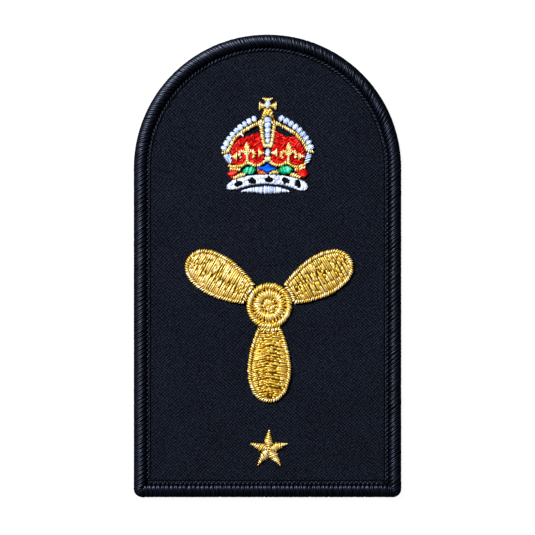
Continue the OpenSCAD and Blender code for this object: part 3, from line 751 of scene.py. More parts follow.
@dataclass
class Sewing:
    """How stitches are laid: their size, how high they arch, and how unevenly they lie.

    A stitch leaves the cloth at its base, and arches by the lift once it is as long as
    full_length, the flatter on top the higher its sharpness. Wander is the spread of its ends in
    plan. Each end is drawn out by longer and keeps end_share of the width. Its tone lies between
    two tones, and falls at the ends and sides as painted shade, as in tubes. Layers under others
    are given low tones, which paint them in shade.
    """

    base: float = SEWN
    lift: float = 0.3
    sharpness: float = 2.6
    half_width: float = 0.2
    half_thick: float = 0.13
    points: int = 8
    sides: int = 6
    wander: float = 0.05
    lift_spread: float = 0.15
    longer: float = 0.0
    full_length: float = 0.9
    end_share: float = 0.55
    # Painted shade at a thread's ends and sides, and the power with which it falls at the ends
    painted_end_shade: float = 0.5
    painted_side_shade: float = 0.4
    end_power: float = 4.0
    tone: Pair = (0.0, 1.0)

    def laid(self, stitches: Stitches, rng: Rng, dome: Array | None = None,
             painted_shade_drop: Array | None = None) -> Surface:
        """Threads along the stitches.

        A thread's height is the base, plus its arch, which is the lift times 1 less the distance
        from its middle to the power of the sharpness. Short stitches arch less.

        Args:
            stitches: The stitches.
            rng: The source of the unevenness.
            dome: Height that the cloth or padding under each stitch adds, by stitch and point.
            painted_shade_drop: How much darker each stitch's tone is painted, as shade.

        Returns:
            The threads.
        """
        count = len(stitches.start)
        jitter = rng.normal(0, self.wander, (2, count, 2))
        longer = unit(stitches.end - stitches.start) * self.longer
        start = stitches.start + jitter[0] - longer
        end = stitches.end + jitter[1] + longer
        t = np.linspace(0, 1, self.points)
        plan = start[:, None] + (end - start)[:, None] * t[None, :, None]
        lift = self.lift * np.clip(stitches.length() / self.full_length, 0.15, 1.0) ** 0.7
        lift = lift * (1 + rng.normal(0, self.lift_spread, count))
        arch = 1 - np.abs(2 * t - 1) ** self.sharpness
        height = self.base + self.half_thick * 0.6 + lift[:, None] * arch[None]
        if dome is not None:
            height = height + dome
        centre = np.concatenate([plan, height[..., None]], axis=-1)
        taper = 1 - (1 - self.end_share) * np.abs(2 * t - 1) ** 6
        half_width = self.half_width * (1 + rng.normal(0, 0.1, count))[:, None] * taper[None]
        half_thick = np.broadcast_to(self.half_thick * taper, half_width.shape)
        up = np.broadcast_to(np.array([0.0, 0.0, 1.0]), centre.shape)
        low, high = self.tone
        tone = low + (high - low) * rng.random(count)
        if painted_shade_drop is not None:
            tone = tone - painted_shade_drop
        return tubes(centre, up, half_width, half_thick, tone, self.sides,
                     self.painted_end_shade, self.painted_side_shade, self.end_power)


# The badge's parts


@dataclass
class Cloth:
    """The stiff ground cloth, cut to the arch, in millimetres."""

    inset: float = 1.25
    under: float = 0.03
    # Levels of its face and back where the border pinches it, how far in from the outer edge the
    # pinch is half way open, and how fast it opens
    pinched_face: float = 0.72
    pinched_back: float = 0.5
    pinch_in: float = 2.3
    pinch_rate: float = 6.0
    columns: int = 60
    straight_rows: int = 78
    arch_rows: int = 40

    def plan(self) -> tuple[Array, Array]:
        """The grid in plan, even up the straight sides and by even angles round the arch.

        Returns:
            The x and y of every grid point, by row and column.
        """
        radius = HALF_W - self.inset
        low = BOTTOM_Y + self.inset
        straight = np.linspace(low, ARCH_Y, self.straight_rows, endpoint=False)
        angle = np.linspace(0, math.pi / 2, self.arch_rows)
        y = np.concatenate([straight, ARCH_Y + radius * np.sin(angle)])
        half = np.concatenate([np.full(self.straight_rows, radius), radius * np.cos(angle)])
        half[-1] = 0.02
        share = np.linspace(-1, 1, self.columns + 1)
        return half[:, None] * share[None], np.repeat(y[:, None], self.columns + 1, 1)

    def levels(self, x: Array, y: Array) -> tuple[Array, Array]:
        """Heights of the cloth's face and back, pinched together under the border.

        The face lies level but for slow waves a few hundredths of a millimetre high. The share by
        which the cloth is free of the pinch is 1 over 1 plus the exponential of the rate times
        the way still to go to the half open distance from the outer edge.

        Args:
            x: Places across.
            y: Places up.

        Returns:
            The heights of the face and of the back.
        """
        reach = HALF_W - np.hypot(x, np.maximum(y - ARCH_Y, 0))
        edge = np.minimum(reach, y - BOTTOM_Y)
        free = 1 / (1 + np.exp(-(edge - self.pinch_in) * self.pinch_rate))
        waves = 0.025 * np.sin(x * 0.31 + 1.3) * np.sin(y * 0.23) \
            + 0.02 * np.sin(x * 0.52 + y * 0.37) + 0.015 * np.sin(x * 0.11 - y * 0.61)
        face = self.pinched_face + (FACE - self.pinched_face) * free + waves * free - 0.03
        return face, self.pinched_back + (self.under - self.pinched_back) * free

    def build(self, finish: ClothFinish) -> None:
        """Builds the cloth as a closed sheet.

        Args:
            finish: Its finish.
        """
        x, y = self.plan()
        rows, columns = x.shape
        face, back = (np.stack([x, y, level], -1).reshape(-1, 3) for level in self.levels(x, y))
        number = np.arange(rows * columns).reshape(rows, columns)
        a, b, c, d = number[:-1, :-1], number[:-1, 1:], number[1:, 1:], number[1:, :-1]
        top = np.stack([a, b, c, d], -1).reshape(-1, 4)
        bottom = np.stack([a, d, c, b], -1).reshape(-1, 4) + rows * columns
        rim = np.concatenate([number[0, :], number[1:, -1], number[-1, -2::-1], number[-2:0:-1, 0]])
        after = np.roll(rim, -1)
        wall = np.stack([rim + rows * columns, after + rows * columns, after, rim], -1)
        quads = np.concatenate([top, bottom, wall])
        corners = np.concatenate([face, back])
        surface = Surface.of_quads(corners, quads, corners[quads][..., :2],
                                   np.full(len(corners), 0.5))
        made = surface.piece("ground_cloth_weave", finish, "ground_cloth")
        made.data.validate()


@dataclass
class EdgePath:
    """The badge's outline, clockwise from its lower left corner: along, then in."""

    corner_r: float = 2.0

    def stretches(self) -> tuple[float, float, float, float]:
        """Distances along at the ends of the left side, the arch, the right side and the foot."""
        side = ARCH_Y - BOTTOM_Y
        over = math.pi * HALF_W
        return side, side + over, 2 * side + over, 2 * side + over + 2 * HALF_W

    def place(self, along: Array, inward: Array) -> Array:
        """Places in plan.

        Args:
            along: Distance along the outline.
            inward: Distance in from it, of a shape that fits.

        Returns:
            x and y.
        """
        left, arch, right, _ = self.stretches()
        along, inward = np.broadcast_arrays(along, inward)
        angle = math.pi - (along - left) / HALF_W
        radius = HALF_W - inward
        on = [along < left, along < arch, along < right]
        x = np.select(on, [inward - HALF_W, radius * np.cos(angle), radius],
                      HALF_W - (along - right))
        y = np.select(on, [BOTTOM_Y + along, ARCH_Y + radius * np.sin(angle),
                           ARCH_Y - (along - arch)], BOTTOM_Y + inward)
        return np.stack([x, y], -1)

    def rounded(self, plan: Array) -> Array:
        """Draws places beside the two square corners round them.

        With r the corner's radius and m and n the lower and higher of a place's distances from
        side and foot, a place where both are below r moves onto the arc of radius r - m about the
        point r in from both, (n - m) / (r - m) of an eighth of a turn from the diagonal.

        Args:
            plan: x and y of the places.

        Returns:
            x and y, those elsewhere unchanged.
        """
        r = self.corner_r
        side = HALF_W - np.abs(plan[..., 0])
        up = plan[..., 1] - BOTTOM_Y
        low = np.minimum(side, up)
        inside = np.maximum(side, up) < r
        angle = (1 - np.abs(side - up) / np.maximum(r - low, 1e-6)) * math.pi / 4
        near, far = r - (r - low) * np.cos(angle), r - (r - low) * np.sin(angle)
        x = HALF_W - np.where(inside, np.where(side < up, near, far), side)
        y = BOTTOM_Y + np.where(inside, np.where(side < up, far, near), up)
        return np.stack([np.sign(plan[..., 0]) * x, y], -1)

    def drawn(self, along: Array, inward: Array) -> Array:
        """Places in plan, held within the outline's length and rounded at the corners."""
        foot = self.stretches()[-1]
        return self.rounded(self.place(np.clip(along, 0.01, foot - 0.01), inward))

    def heading(self, along: Array, inward: Array) -> Array:
        """Level direction along the rounded outline, as x, y and 0, of length 1."""
        way = self.drawn(along + 0.1, inward) - self.drawn(along - 0.1, inward)
        return unit(np.concatenate([way, np.zeros((*inward.shape, 1))], -1))

    def room(self, along: Array) -> Array:
        """Distance along the outline to the nearer square corner."""
        left, arch, right, foot = self.stretches()
        side = np.where(along < (left + arch) / 2, along, right - along)
        return np.where(along < right, side, np.minimum(along - right, foot - along))


@dataclass
class Border:
    """The overlocked border: a core wrapped in thread, and the needle stitches inside it.

    The bead's crest lies in from its middle by crest, and its power is inner_power inside the
    crest and power outside it. A thread runs along the outline by lean for each step in, and its
    upper side tips back by tip. A stitch's first thread is brighter and higher and its second
    darker and lower by uneven times twin and sunk; the brighter and darker tones are painted
    highlight and shade of the higher and lower threads. These have values for the sides, the top
    of the arch and the foot, but uneven is 1 on the sides and tip 0 on the left one.
    """

    path: EdgePath = field(default_factory=EdgePath)
    width: float = 2.95
    level: float = 0.92
    stitch: float = 1.0
    per_stitch: int = 2
    # Columns: distance in, share of its full spread that a stitch keeps, a strand's half width
    # and half thickness
    side_spread: Rows = (
        (0.0, 1.0, 0.40, 0.09), (0.7, 0.98, 0.32, 0.11), (1.2, 0.92, 0.25, 0.12),
        (1.8, 0.76, 0.22, 0.12), (2.3, 0.54, 0.2, 0.12), (2.9, 0.16, 0.15, 0.1))
    top_spread: Rows = (
        (0.0, 1.0, 0.44, 0.09), (0.5, 1.0, 0.42, 0.09), (0.9, 0.95, 0.36, 0.1),
        (1.3, 0.9, 0.32, 0.1), (1.8, 0.8, 0.28, 0.1), (2.3, 0.7, 0.24, 0.1), (2.9, 0.5, 0.15, 0.1))
    foot_spread: Rows = (
        (0.0, 1.0, 0.46, 0.07), (1.2, 1.0, 0.44, 0.07), (1.6, 0.95, 0.40, 0.08),
        (2.0, 0.85, 0.35, 0.09), (2.4, 0.6, 0.3, 0.1), (2.9, 0.1, 0.15, 0.1))
    side_crest: float = 0.1
    top_crest: float = 0.31
    foot_crest: float = 0.32
    inner_power: float = 2.2
    side_power: float = 1.8
    top_power: float = 1.8
    foot_power: float = 2.0
    core_in: float = 0.11
    core_power: float = 1.6
    # Rings of the core along the left side, the arch, the right side and the foot
    core_stops: tuple[int, ...] = (24, 72, 24, 20)
    half_thick: float = 0.12
    side_lean: float = 0.65
    top_lean: float = 0.45
    foot_lean: float = 0.1
    twin: float = 0.3
    sunk: float = 0.025
    top_uneven: float = 0.3
    foot_uneven: float = 0.6
    right_tip: float = 0.05
    top_tip: float = 0.15
    foot_tip: float = -0.05
    sides: int = 6
    seed: int = 11

    def section(self, inset: float, over: int) -> Array:
        """Section of the border: distance in, height.

        From the inner edge of the back, out along the back, round the foot, then over the bead.

        Args:
            inset: How far inside the border's own section it lies.
            over: Points over the bead.

        Returns:
            Rows of distance in and height.
        """
        crest = self.width / 2 + self.side_crest
        turn = np.cos(np.radians(np.linspace(0, 166, over)))
        depth = crest - turn * np.where(turn > 0, crest - inset, self.width - crest - inset)
        rise = (BORDER_TOP - inset - self.level) * self.bead(depth, crest, inset, self.core_power)
        bead = np.stack([depth, self.level + rise], -1)
        back = np.array([
            [2.7, inset + 0.02], [1.6, inset], [0.62, inset + 0.02], [inset + 0.07, 0.42]])
        return np.concatenate([back, bead])

    def bead(self, depth: Array, crest: Array | float, inset: float,
             outer: Array | float) -> Array:
        """Height of the bead above its widest level, as a share of its crest's.

        With u the distance from the crest as a share of the half width on that side, it is the
        root of 1 less the power of u.

        Args:
            depth: Distances in from the outer edge.
            crest: The crest's distance in.
            inset: How far inside the border's own section it lies.
            outer: The power outside the crest.

        Returns:
            The shares.
        """
        half = np.where(depth < crest, crest, self.width - crest) - inset
        power = np.where(depth < crest, outer, self.inner_power)
        share = np.minimum(np.abs(depth - crest) / half, 1.0)
        return (1 - share ** power) ** (1 / power)

    def blend(self, along: Array, side: Array | float, top: Array | float,
              foot: Array | float) -> Array:
        """A value that changes round the badge.

        Args:
            along: Distances along the outline.
            side: The value on the straight sides.
            top: The value at the top of the arch, reached with the sine of the way round it.
            foot: The value along the straight foot.

        Returns:
            The value at each distance.
        """
        left, arch, right, _ = self.path.stretches()
        over = np.sin(np.clip((along - left) / (arch - left), 0, 1) * math.pi)
        return np.where(along > right, foot, side + (top - side) * over)

    def spread(self, along: Array, depths: Array) -> list[Array]:
        """Columns 1 to 3 of the spread tables, at distances along the outline and in from it."""
        tables = [np.array(table) for table in (self.side_spread, self.top_spread, self.foot_spread)]
        return [self.blend(along, *(np.interp(depths, table[:, 0], table[:, column])
                                    for table in tables)) for column in (1, 2, 3)]

    def wrapped(self) -> Surface:
        """The threads round the edge, gathered in stitches that each stand a little proud.

        A thread follows the section. Its distance along the outline is its stitch's middle plus
        its own place in the stitch, which closes to nothing at the needle hole inside the bead,
        plus its lean times the distance from the crest. Beside the square corners all of that is
        eased away, and the threads are shortened to the mitre. Its upper side faces as the cross
        product of its heading and the outline's, away from the spine, a line below the crest.
        """
        rng = np.random.default_rng(self.seed)
        left, arch, _, foot = self.path.stretches()
        stitches = round(foot / self.stitch)
        number = np.arange(stitches * self.per_stitch)
        hole = (number // self.per_stitch + 0.5) * foot / stitches
        slot = ((number % self.per_stitch) - (self.per_stitch - 1) / 2) / self.per_stitch
        aside = slot * self.stitch + rng.normal(0, 0.025, len(number))
        clear = self.path.room(hole + aside) > 0.1
        hole, aside, slot = hole[clear], aside[clear, None], slot[clear, None]
        along = hole[:, None] + aside
        each = along.shape
        uneven = self.blend(along, 1.0, self.top_uneven, self.foot_uneven) * np.sign(slot)
        proud = rng.normal(0, 0.02, each) - self.sunk * uneven
        section_in, section_up = self.section(self.half_thick * 0.5, 12).T
        over = np.arange(len(section_in)) >= 4
        room = np.minimum(self.path.room(along), 40.0)
        reach = np.minimum(self.width, np.maximum(room - 0.04, 0.3))
        inward = section_in * (reach / self.width)
        crest = self.width / 2 + self.blend(along, self.side_crest, self.top_crest, self.foot_crest)
        outer = self.blend(along, self.side_power, self.top_power, self.foot_power)
        bead = self.bead(inward, crest, -0.02, outer)
        top = BORDER_TOP - self.half_thick - self.level
        height = np.where(over, self.level + top * bead, section_up) + np.where(over, proud * bead, 0)
        inward = inward - np.where(section_in < crest, proud * 0.2, 0)
        ease = np.clip(room / 3.5, 0, 1)
        steep = self.blend(along, self.side_lean, self.top_lean, self.foot_lean) \
            + rng.normal(0, 0.08, each)
        shift = (section_in - crest) * (steep * ease) * np.where(over, 1, 0.2)
        kept, wide, thick = self.spread(along, np.where(over, section_in, 0.0))
        shift = shift + aside * (kept - 1) * ease
        centre = np.concatenate([self.path.drawn(along + shift, inward), height[..., None]], -1)
        ahead = self.path.heading(along + shift, inward)
        side_tip = np.where(along > (left + arch) / 2, self.right_tip, 0.0)
        tip = self.blend(along, side_tip, self.top_tip, self.foot_tip) + rng.normal(0, 0.07, each)
        r = self.path.corner_r
        spine = self.path.rounded(self.path.place(along, np.where(room < r, 0.98 * r, crest)))
        spine = np.concatenate([spine, np.full((len(spine), 1, 1), self.level)], -1)
        normal = np.cross(np.gradient(centre, axis=1), ahead)
        normal = unit(normal * np.sign(np.sum(normal * (centre - spine), -1, keepdims=True)))
        upward = normal - (tip * ease)[..., None] * ahead
        taper = np.ones(len(section_in))
        taper[[0, -1]] = 0.55
        wide = (1 + rng.normal(0, 0.08, each)) * taper * wide
        # Tone: random, with painted highlight and shade on each stitch's higher and lower thread, and
        # painted shade on the strands' sides
        tone = 0.5 - self.twin * uneven + rng.uniform(-0.35, 0.35, each)
        return tubes(centre, upward, wide, thick * taper, tone[:, 0], self.sides, painted_side_shade=0.4)

    def core(self) -> Surface:
        """The border's core: the section drawn in a little, carried round the outline."""
        section = self.section(self.core_in, 11)
        ends = (0.0, *self.path.stretches())
        stops = np.concatenate([np.linspace(a, b, count, endpoint=False)
                                for a, b, count in zip(ends, ends[1:], self.core_stops)])
        at_corner = self.path.room(stops) < 1e-6
        inward = section[None, :, 0] * np.ones((len(stops), 1))
        corner = np.where(stops > (ends[1] + ends[2]) / 2, 1.0, -1.0)[:, None]
        mitre = np.stack([corner * (HALF_W - inward), BOTTOM_Y + inward], -1)
        plan = self.path.place(stops[:, None], inward)
        plan = self.path.rounded(np.where(at_corner[:, None, None], mitre, plan))
        height = np.broadcast_to(section[:, 1], inward.shape)
        rings = np.concatenate([plan, height[..., None]], -1)
        count, sides = inward.shape
        number = np.arange(count * sides).reshape(count, sides)
        ahead, beside = np.roll(number, -1, axis=0), np.roll(number, -1, axis=1)
        quads = np.stack([number, beside, np.roll(ahead, -1, axis=1), ahead], -1).reshape(-1, 4)
        corners = rings.reshape(-1, 3)
        # Painted shade: the core's tone darkens toward the inner side and the needle holes
        tone = np.clip(1.0 - inward / (0.8 * self.width), 0, 1).ravel() - 0.2
        return Surface.of_quads(corners, quads, corners[quads][..., :2] * [1, 0], tone)

    def needle_line(self) -> Surface:
        """The needle stitches: dots and strokes up the sides and foot, slanted over the arch."""
        rng = np.random.default_rng(self.seed + 1)
        left, arch, right, foot = self.path.stretches()
        count = round(foot / self.stitch)
        hole = (np.arange(count) + 0.5) * foot / count
        hole = hole[self.path.room(hole) > 3.9]
        side = (hole < left + 6) | ((hole > arch - 6) & (hole < right))
        top = ~side & (hole < right)
        dot = Sewing(base=SEWN + 0.01, lift=0.2, half_width=0.17, half_thick=0.11, wander=0.02,
                     points=7, full_length=0.5, tone=(0.6, 1.2), painted_end_shade=0.4)
        slanted = Sewing(base=SEWN - 0.01, lift=0.16, half_width=0.12, half_thick=0.1, wander=0.03,
                         points=7, full_length=0.5, tone=(0.3, 0.9), painted_end_shade=0.2)
        stroke = Sewing(base=FACE, lift=0.16, half_width=0.11, half_thick=0.09, wander=0.03,
                        points=7, full_length=0.5, tone=(0.3, 1.0), painted_end_shade=0.4)

        def row(sewing: Sewing, at: Array, start: Pair,
                end: Pair) -> Surface:
            """Like stitches at places along the outline, from start to end, each along and in."""
            ends = (self.path.place(at + along, inward) for along, inward in (start, end))
            return sewing.laid(Stitches(*ends, at), rng)

        up, over, down = hole[side], hole[top], hole[hole > right]
        half = 0.5 * self.stitch
        return Surface.joined([
            row(dot, up, (-0.06, 2.96), (0.06, 3.22)),
            row(stroke, up + half, (-0.30, 3.46), (0.24, 3.42)),
            row(slanted, over, (-0.46, 3.56), (0.40, 3.04)),
            row(dot, down, (-0.08, 2.94), (0.06, 3.20)),
            row(stroke, down + half, (-0.2, 3.36), (0.2, 3.46))])

    def build(self, finishes: Finishes) -> None:
        """Builds the border's threads, its core, painted near black as shade, and the needle line."""
        self.wrapped().piece("border_threads", finishes.navy, "edge_border")
        self.core().piece("border_core", finishes.shade)
        self.needle_line().piece("needle_line", finishes.needle, "overlock_chain")


@dataclass
class Blade:
    """One propeller blade: a rope of satin stitch round two half columns of fill.

    The half columns meet at the share of a stitch called parting. The share called dashes leave a
    gap there, and stagger is the spread of their ends. Broken holds the shares that are broken in
    two, time after time, and crossed the share of places along the middle with a stitch over
    them. Slant is how far the middle is drawn toward the hub for each step in from the edge, and
    shade and middle_painted_shade are how much darker the fill and its middle are painted, as
    shade: on a blade whose threads catch less light, and toward the parting down its middle.
    """

    name: str
    angle: float
    reach: float
    width: float
    seed: int
    hub_r: float = 5.1
    root_gap: float = 0.25
    rope_w: float = 0.78
    # How far from the arc at its root the outline's corners are cut
    corner_step: float = 0.45
    fill_pitch: float = 0.45
    parting: float = 0.5
    dashes: float = 0.2
    stagger: float = 0.12
    # Painted shade over the whole fill, for a blade whose threads catch less light
    shade: float = 0.0
    broken: tuple[float, ...] = (0.4, 0.2)
    crossed: float = 0.0
    slant: float = 0.0
    # Painted shade toward the parting down the middle, lighter toward the rope
    middle_painted_shade: float = 0.4
    root_steps: int = 4
    # Columns: share of the way from the root to the tip, width as a share of the greatest
    rows: Rows = (
        (0.00, 0.55), (0.12, 0.72), (0.25, 0.85), (0.38, 0.95), (0.50, 1.00),
        (0.62, 1.00), (0.74, 0.93), (0.84, 0.81), (0.92, 0.62), (0.98, 0.33))

    def outline(self, inset: float) -> Array:
        """The blade's outline drawn in by a distance, pointing along x from the hub's middle.

        Args:
            inset: The distance.

        Returns:
            Points along one side, round the tip, back, and along the arc beside the hub.
        """
        root = self.hub_r + self.root_gap
        table = np.array(self.rows)
        side = np.stack([root + table[:, 0] * (self.reach - root), table[:, 1] * self.width / 2], -1)
        loop = np.concatenate([side * [1, -1], [[self.reach, 0]], side[::-1]])
        edge = smooth(loop, 4)
        ahead = unit(np.gradient(edge, axis=0))
        inner = edge + np.stack([-ahead[:, 1], ahead[:, 0]], -1) * inset
        kept = inner[np.linalg.norm(inner, axis=1) > root + inset + self.corner_step]
        a, b = np.arctan2(kept[[-1, 0], 1], kept[[-1, 0], 0])
        arc = np.linspace(a, b, self.root_steps + 1)
        return np.concatenate([kept, (root + inset) * np.stack([np.cos(arc), np.sin(arc)], -1)])

    def placed(self, stitches: Stitches) -> Stitches:
        """Stitches drawn along x from the hub's middle, turned and moved to their place."""
        return stitches.turned(self.angle).moved(HUB_PLACE)

    def rope(self, rng: Rng) -> Surface:
        """The stitched rope round the blade, over a flatter layer of the same thread painted darker as
        shade.
        """
        loop = self.outline(self.rope_w / 2)
        path = np.concatenate([loop, np.full((len(loop), 1), self.rope_w / 2)], -1)
        under = Sewing(lift=0.2, half_width=0.2, half_thick=0.1, points=5, sides=5, tone=(-0.5, 0.0))
        over = Sewing(lift=0.46, half_width=0.2, half_thick=0.17, full_length=0.6, longer=0.06,
                      points=9, painted_end_shade=0.6, end_power=2.0, painted_side_shade=0.6, tone=(0.55, 1.3))
        return Surface.joined([
            under.laid(self.placed(across(path, 0.36, 0.2, closed=True)), rng),
            over.laid(self.placed(across(path, 0.51, 0.6, closed=True)), rng)])

    def fill(self, rng: Rng) -> Surface:
        """The two half columns of fill, parted unevenly near the blade's middle line."""
        inside = self.outline(self.rope_w - 0.08)
        # The layer beneath is painted dark as shade, less dark at its ends
        under = Sewing(lift=0.1, half_width=0.22, half_thick=0.1, points=10, sides=5, wander=0.02,
                       painted_end_shade=-0.6, tone=(-0.8, -0.3))
        base = scanned(inside, 90, 0.4)
        parts = [under.laid(self.placed(base), rng, self.dome(base, under.points) * 0.7)]
        halves = self.halves(scanned(inside, 90, self.fill_pitch), rng)
        # Painted shade: the tone is lowered by shade over the whole fill, and by middle_painted_shade
        # toward the parting
        sewing = Sewing(lift=0.26, half_width=0.22, half_thick=0.14, wander=0.03, points=10,
                        lift_spread=0.04, full_length=1.6, sharpness=2.4, painted_end_shade=0.3,
                        painted_side_shade=0.6, tone=(0.55 - self.shade, 0.9 - self.shade))
        middle = (halves.start + halves.end) / 2
        outward = np.abs(middle[:, 1]) / np.interp(middle[:, 0], *self.half_widths())
        parts.append(sewing.laid(self.placed(halves), rng, self.dome(halves, sewing.points),
                                 (0.5 - np.minimum(outward, 1.0)) * self.middle_painted_shade))
        loose = self.crossing(rng)
        if len(loose.start):
            high = Sewing(base=SEWN + 0.24, lift=0.26, half_width=0.17, full_length=0.7,
                          tone=(0.3, 0.8))
            parts.append(high.laid(self.placed(loose), rng))
        return Surface.joined(parts)

    def halves(self, whole: Stitches, rng: Rng) -> Stitches:
        """Stitches across the blade as two half columns, some of them broken in two.

        Args:
            whole: The stitches from edge to edge.
            rng: The source of the unevenness.

        Returns:
            The shorter stitches.
        """
        count = len(whole.start)
        knots = np.arange(0, count + 5, 5)
        drift = np.interp(np.arange(count), knots, rng.normal(0, 0.06, len(knots)))
        at = np.clip(self.parting + drift + rng.normal(0, 0.05, count), 0.2, 0.8)
        parted = rng.random(count) < self.dashes
        parted &= ~np.roll(parted, 1)
        halves = whole.split(at, np.where(parted, rng.uniform(0.04, 0.12, count), -0.02))
        halves.end[:count, 0] += rng.normal(0, self.stagger, count)
        halves.start[count:, 0] += rng.normal(0, self.stagger, count)
        halves = Stitches(self.slanted(halves.start), self.slanted(halves.end), halves.share)
        for broken in self.broken:
            cut = rng.random(len(halves.start)) < broken
            short = halves.kept(cut)
            short = short.split(rng.uniform(0.3, 0.7, len(short.start)),
                                rng.uniform(-0.02, 0.05, len(short.start)))
            halves = Stitches.joined([halves.kept(~cut), short])
        return halves.kept(halves.length() > 0.35)

    def dome(self, stitches: Stitches, points: int) -> Array:
        """Height of the padding, which falls with the fourth power of the way from the middle.

        Args:
            stitches: The stitches, along x from the hub's middle.
            points: Points along each.

        Returns:
            The heights, by stitch and point.
        """
        t = np.linspace(0, 1, points)[None, :, None]
        plan = stitches.start[:, None] + (stitches.end - stitches.start)[:, None] * t
        half = np.interp(plan[..., 0], *self.half_widths())
        return 0.2 * np.clip(1 - (plan[..., 1] / np.maximum(half, 0.5)) ** 4, 0, 1)

    def slanted(self, points: Array) -> Array:
        """Draws points toward the hub by the slant times their way in from the edge.

        Args:
            points: Points along x from the hub's middle.

        Returns:
            The moved points.
        """
        half = np.interp(points[:, 0], *self.half_widths())
        inward = np.clip(half - np.abs(points[:, 1]), 0, None)
        ramp = np.clip((points[:, 0] - self.hub_r - self.root_gap - self.rope_w) / 4, 0, 1)
        moved = points.copy()
        moved[:, 0] -= self.slant * inward * ramp
        return moved

    def half_widths(self) -> tuple[Array, Array]:
        """Distances from the hub's middle, and the half width of the fill there."""
        root = self.hub_r + self.root_gap
        table = np.array(self.rows + ((1.0, 0.0),))
        return root + table[:, 0] * (self.reach - root), table[:, 1] * self.width / 2 - self.rope_w

    def crossing(self, rng: Rng) -> Stitches:
        """Short slanted stitches that run down the blade's middle line."""
        x = np.arange(self.hub_r + 1.6, self.reach - 3.2, 0.62)
        x = x[rng.random(len(x)) < self.crossed]
        middle = np.stack([x, rng.normal(0, 0.35, len(x))], -1)
        way = np.stack([rng.normal(0.30, 0.08, len(x)), 0.42 + 0.15 * rng.random(len(x))], -1)
        return Stitches(middle - way, middle + way, rng.random(len(x)))

    def build(self, finishes: Finishes) -> None:
        """Builds the blade's rope and fill."""
        rng = np.random.default_rng(self.seed)
        self.rope(rng).piece(f"blade_{self.name}_rope", finishes.gold, f"blade_rope_{self.name}")
        self.fill(rng).piece(f"blade_{self.name}_fill", finishes.satin_gold,
                             f"blade_fill_{self.name}")


@dataclass
class Hub:
    """The propeller's hub: two rings of satin stitch round a crossed boss."""

    radius: float = 5.12
    # Columns: inner and outer radius as shares of the hub's, lift, pitch, slant
    rings: Rows = ((0.76, 1.0, 0.5, 0.54, 0.6), (0.345, 0.695, 0.45, 0.48, -0.25))
    boss_share: float = 0.30
    holes: int = 28
    seed: int = 31

    def ring(self, row: tuple[float, ...], rng: Rng) -> Surface:
        """A ring of satin stitch.

        Args:
            row: A row of the table of rings.
            rng: The source of the unevenness.

        Returns:
            The ring.
        """
        low, high, lift, pitch, slant = row
        middle = circle(96, self.radius * (low + high) / 2)
        half = np.full((len(middle), 1), self.radius * (high - low) / 2)
        path = np.concatenate([middle, half], -1)
        stitches = across(path, pitch, slant, closed=True).moved(HUB_PLACE)
        sewing = Sewing(lift=lift, half_width=0.25, half_thick=0.17, wander=0.045, points=9,
                        full_length=0.8, longer=0.03, sharpness=2.0, painted_end_shade=0.7, end_power=5.0,
                        painted_side_shade=0.6, tone=(0.55, 1.1))
        return sewing.laid(stitches, rng)

    def spokes(self, count: int, *spans: Pair) -> Stitches:
        """Stitches like spokes, each from one share of the hub's radius to another."""
        way = circle(count, self.radius)
        return Stitches.joined([Stitches(way * low, way * high, np.arange(count) / count)
                                for low, high in spans]).moved(HUB_PLACE)

    def base(self, rng: Rng) -> Surface:
        """A low layer of the same thread, painted darker as shade, with needle holes between the
        rings.
        """
        low = Sewing(lift=0.1, half_width=0.25, half_thick=0.1, wander=0.03, points=8, sides=5,
                     tone=(-0.6, 0.0))
        bridges = Sewing(lift=0.18, half_width=0.30, half_thick=0.1, wander=0.04, points=6,
                         painted_end_shade=0.2, tone=(0.0, 0.6))
        over_gaps = [self.spokes(self.holes, (0.64, 0.80)), self.spokes(self.holes // 2, (0.26, 0.40))]
        return Surface.joined([low.laid(self.spokes(44, (0.77, 0.98), (0.38, 0.67)), rng),
                               bridges.laid(Stitches.joined(over_gaps), rng)])

    def boss(self, rng: Rng) -> Surface:
        """The boss, filled one way and crossed by a second layer, the first painted darker as shade.
        """
        disc = circle(32, self.radius * self.boss_share)
        under = Sewing(lift=0.34, half_width=0.2, wander=0.04, full_length=1.4, sharpness=2.0,
                       tone=(0.2, 0.9))
        over = Sewing(base=SEWN + 0.3, lift=0.22, half_width=0.18, wander=0.07, full_length=0.7,
                      sharpness=2.0, tone=(0.6, 1.2))
        first = scanned(disc, 25, 0.36).moved(HUB_PLACE)
        second = scanned(disc * 0.9, 115, 0.5).moved(HUB_PLACE)
        count = len(second.start)
        second = second.split(rng.uniform(0.3, 0.7, count), rng.uniform(-0.02, 0.15, count))
        return Surface.joined([under.laid(first, rng), over.laid(second, rng)])

    def build(self, finish: ThreadFinish) -> None:
        """Builds the hub's rings, base and boss as one piece."""
        rng = np.random.default_rng(self.seed)
        parts = [self.ring(row, rng) for row in self.rings] + [self.base(rng), self.boss(rng)]
        Surface.joined(parts).piece("hub_stitches", finish,
                                    "hub_outer_ring", "hub_inner_ring", "hub_boss")


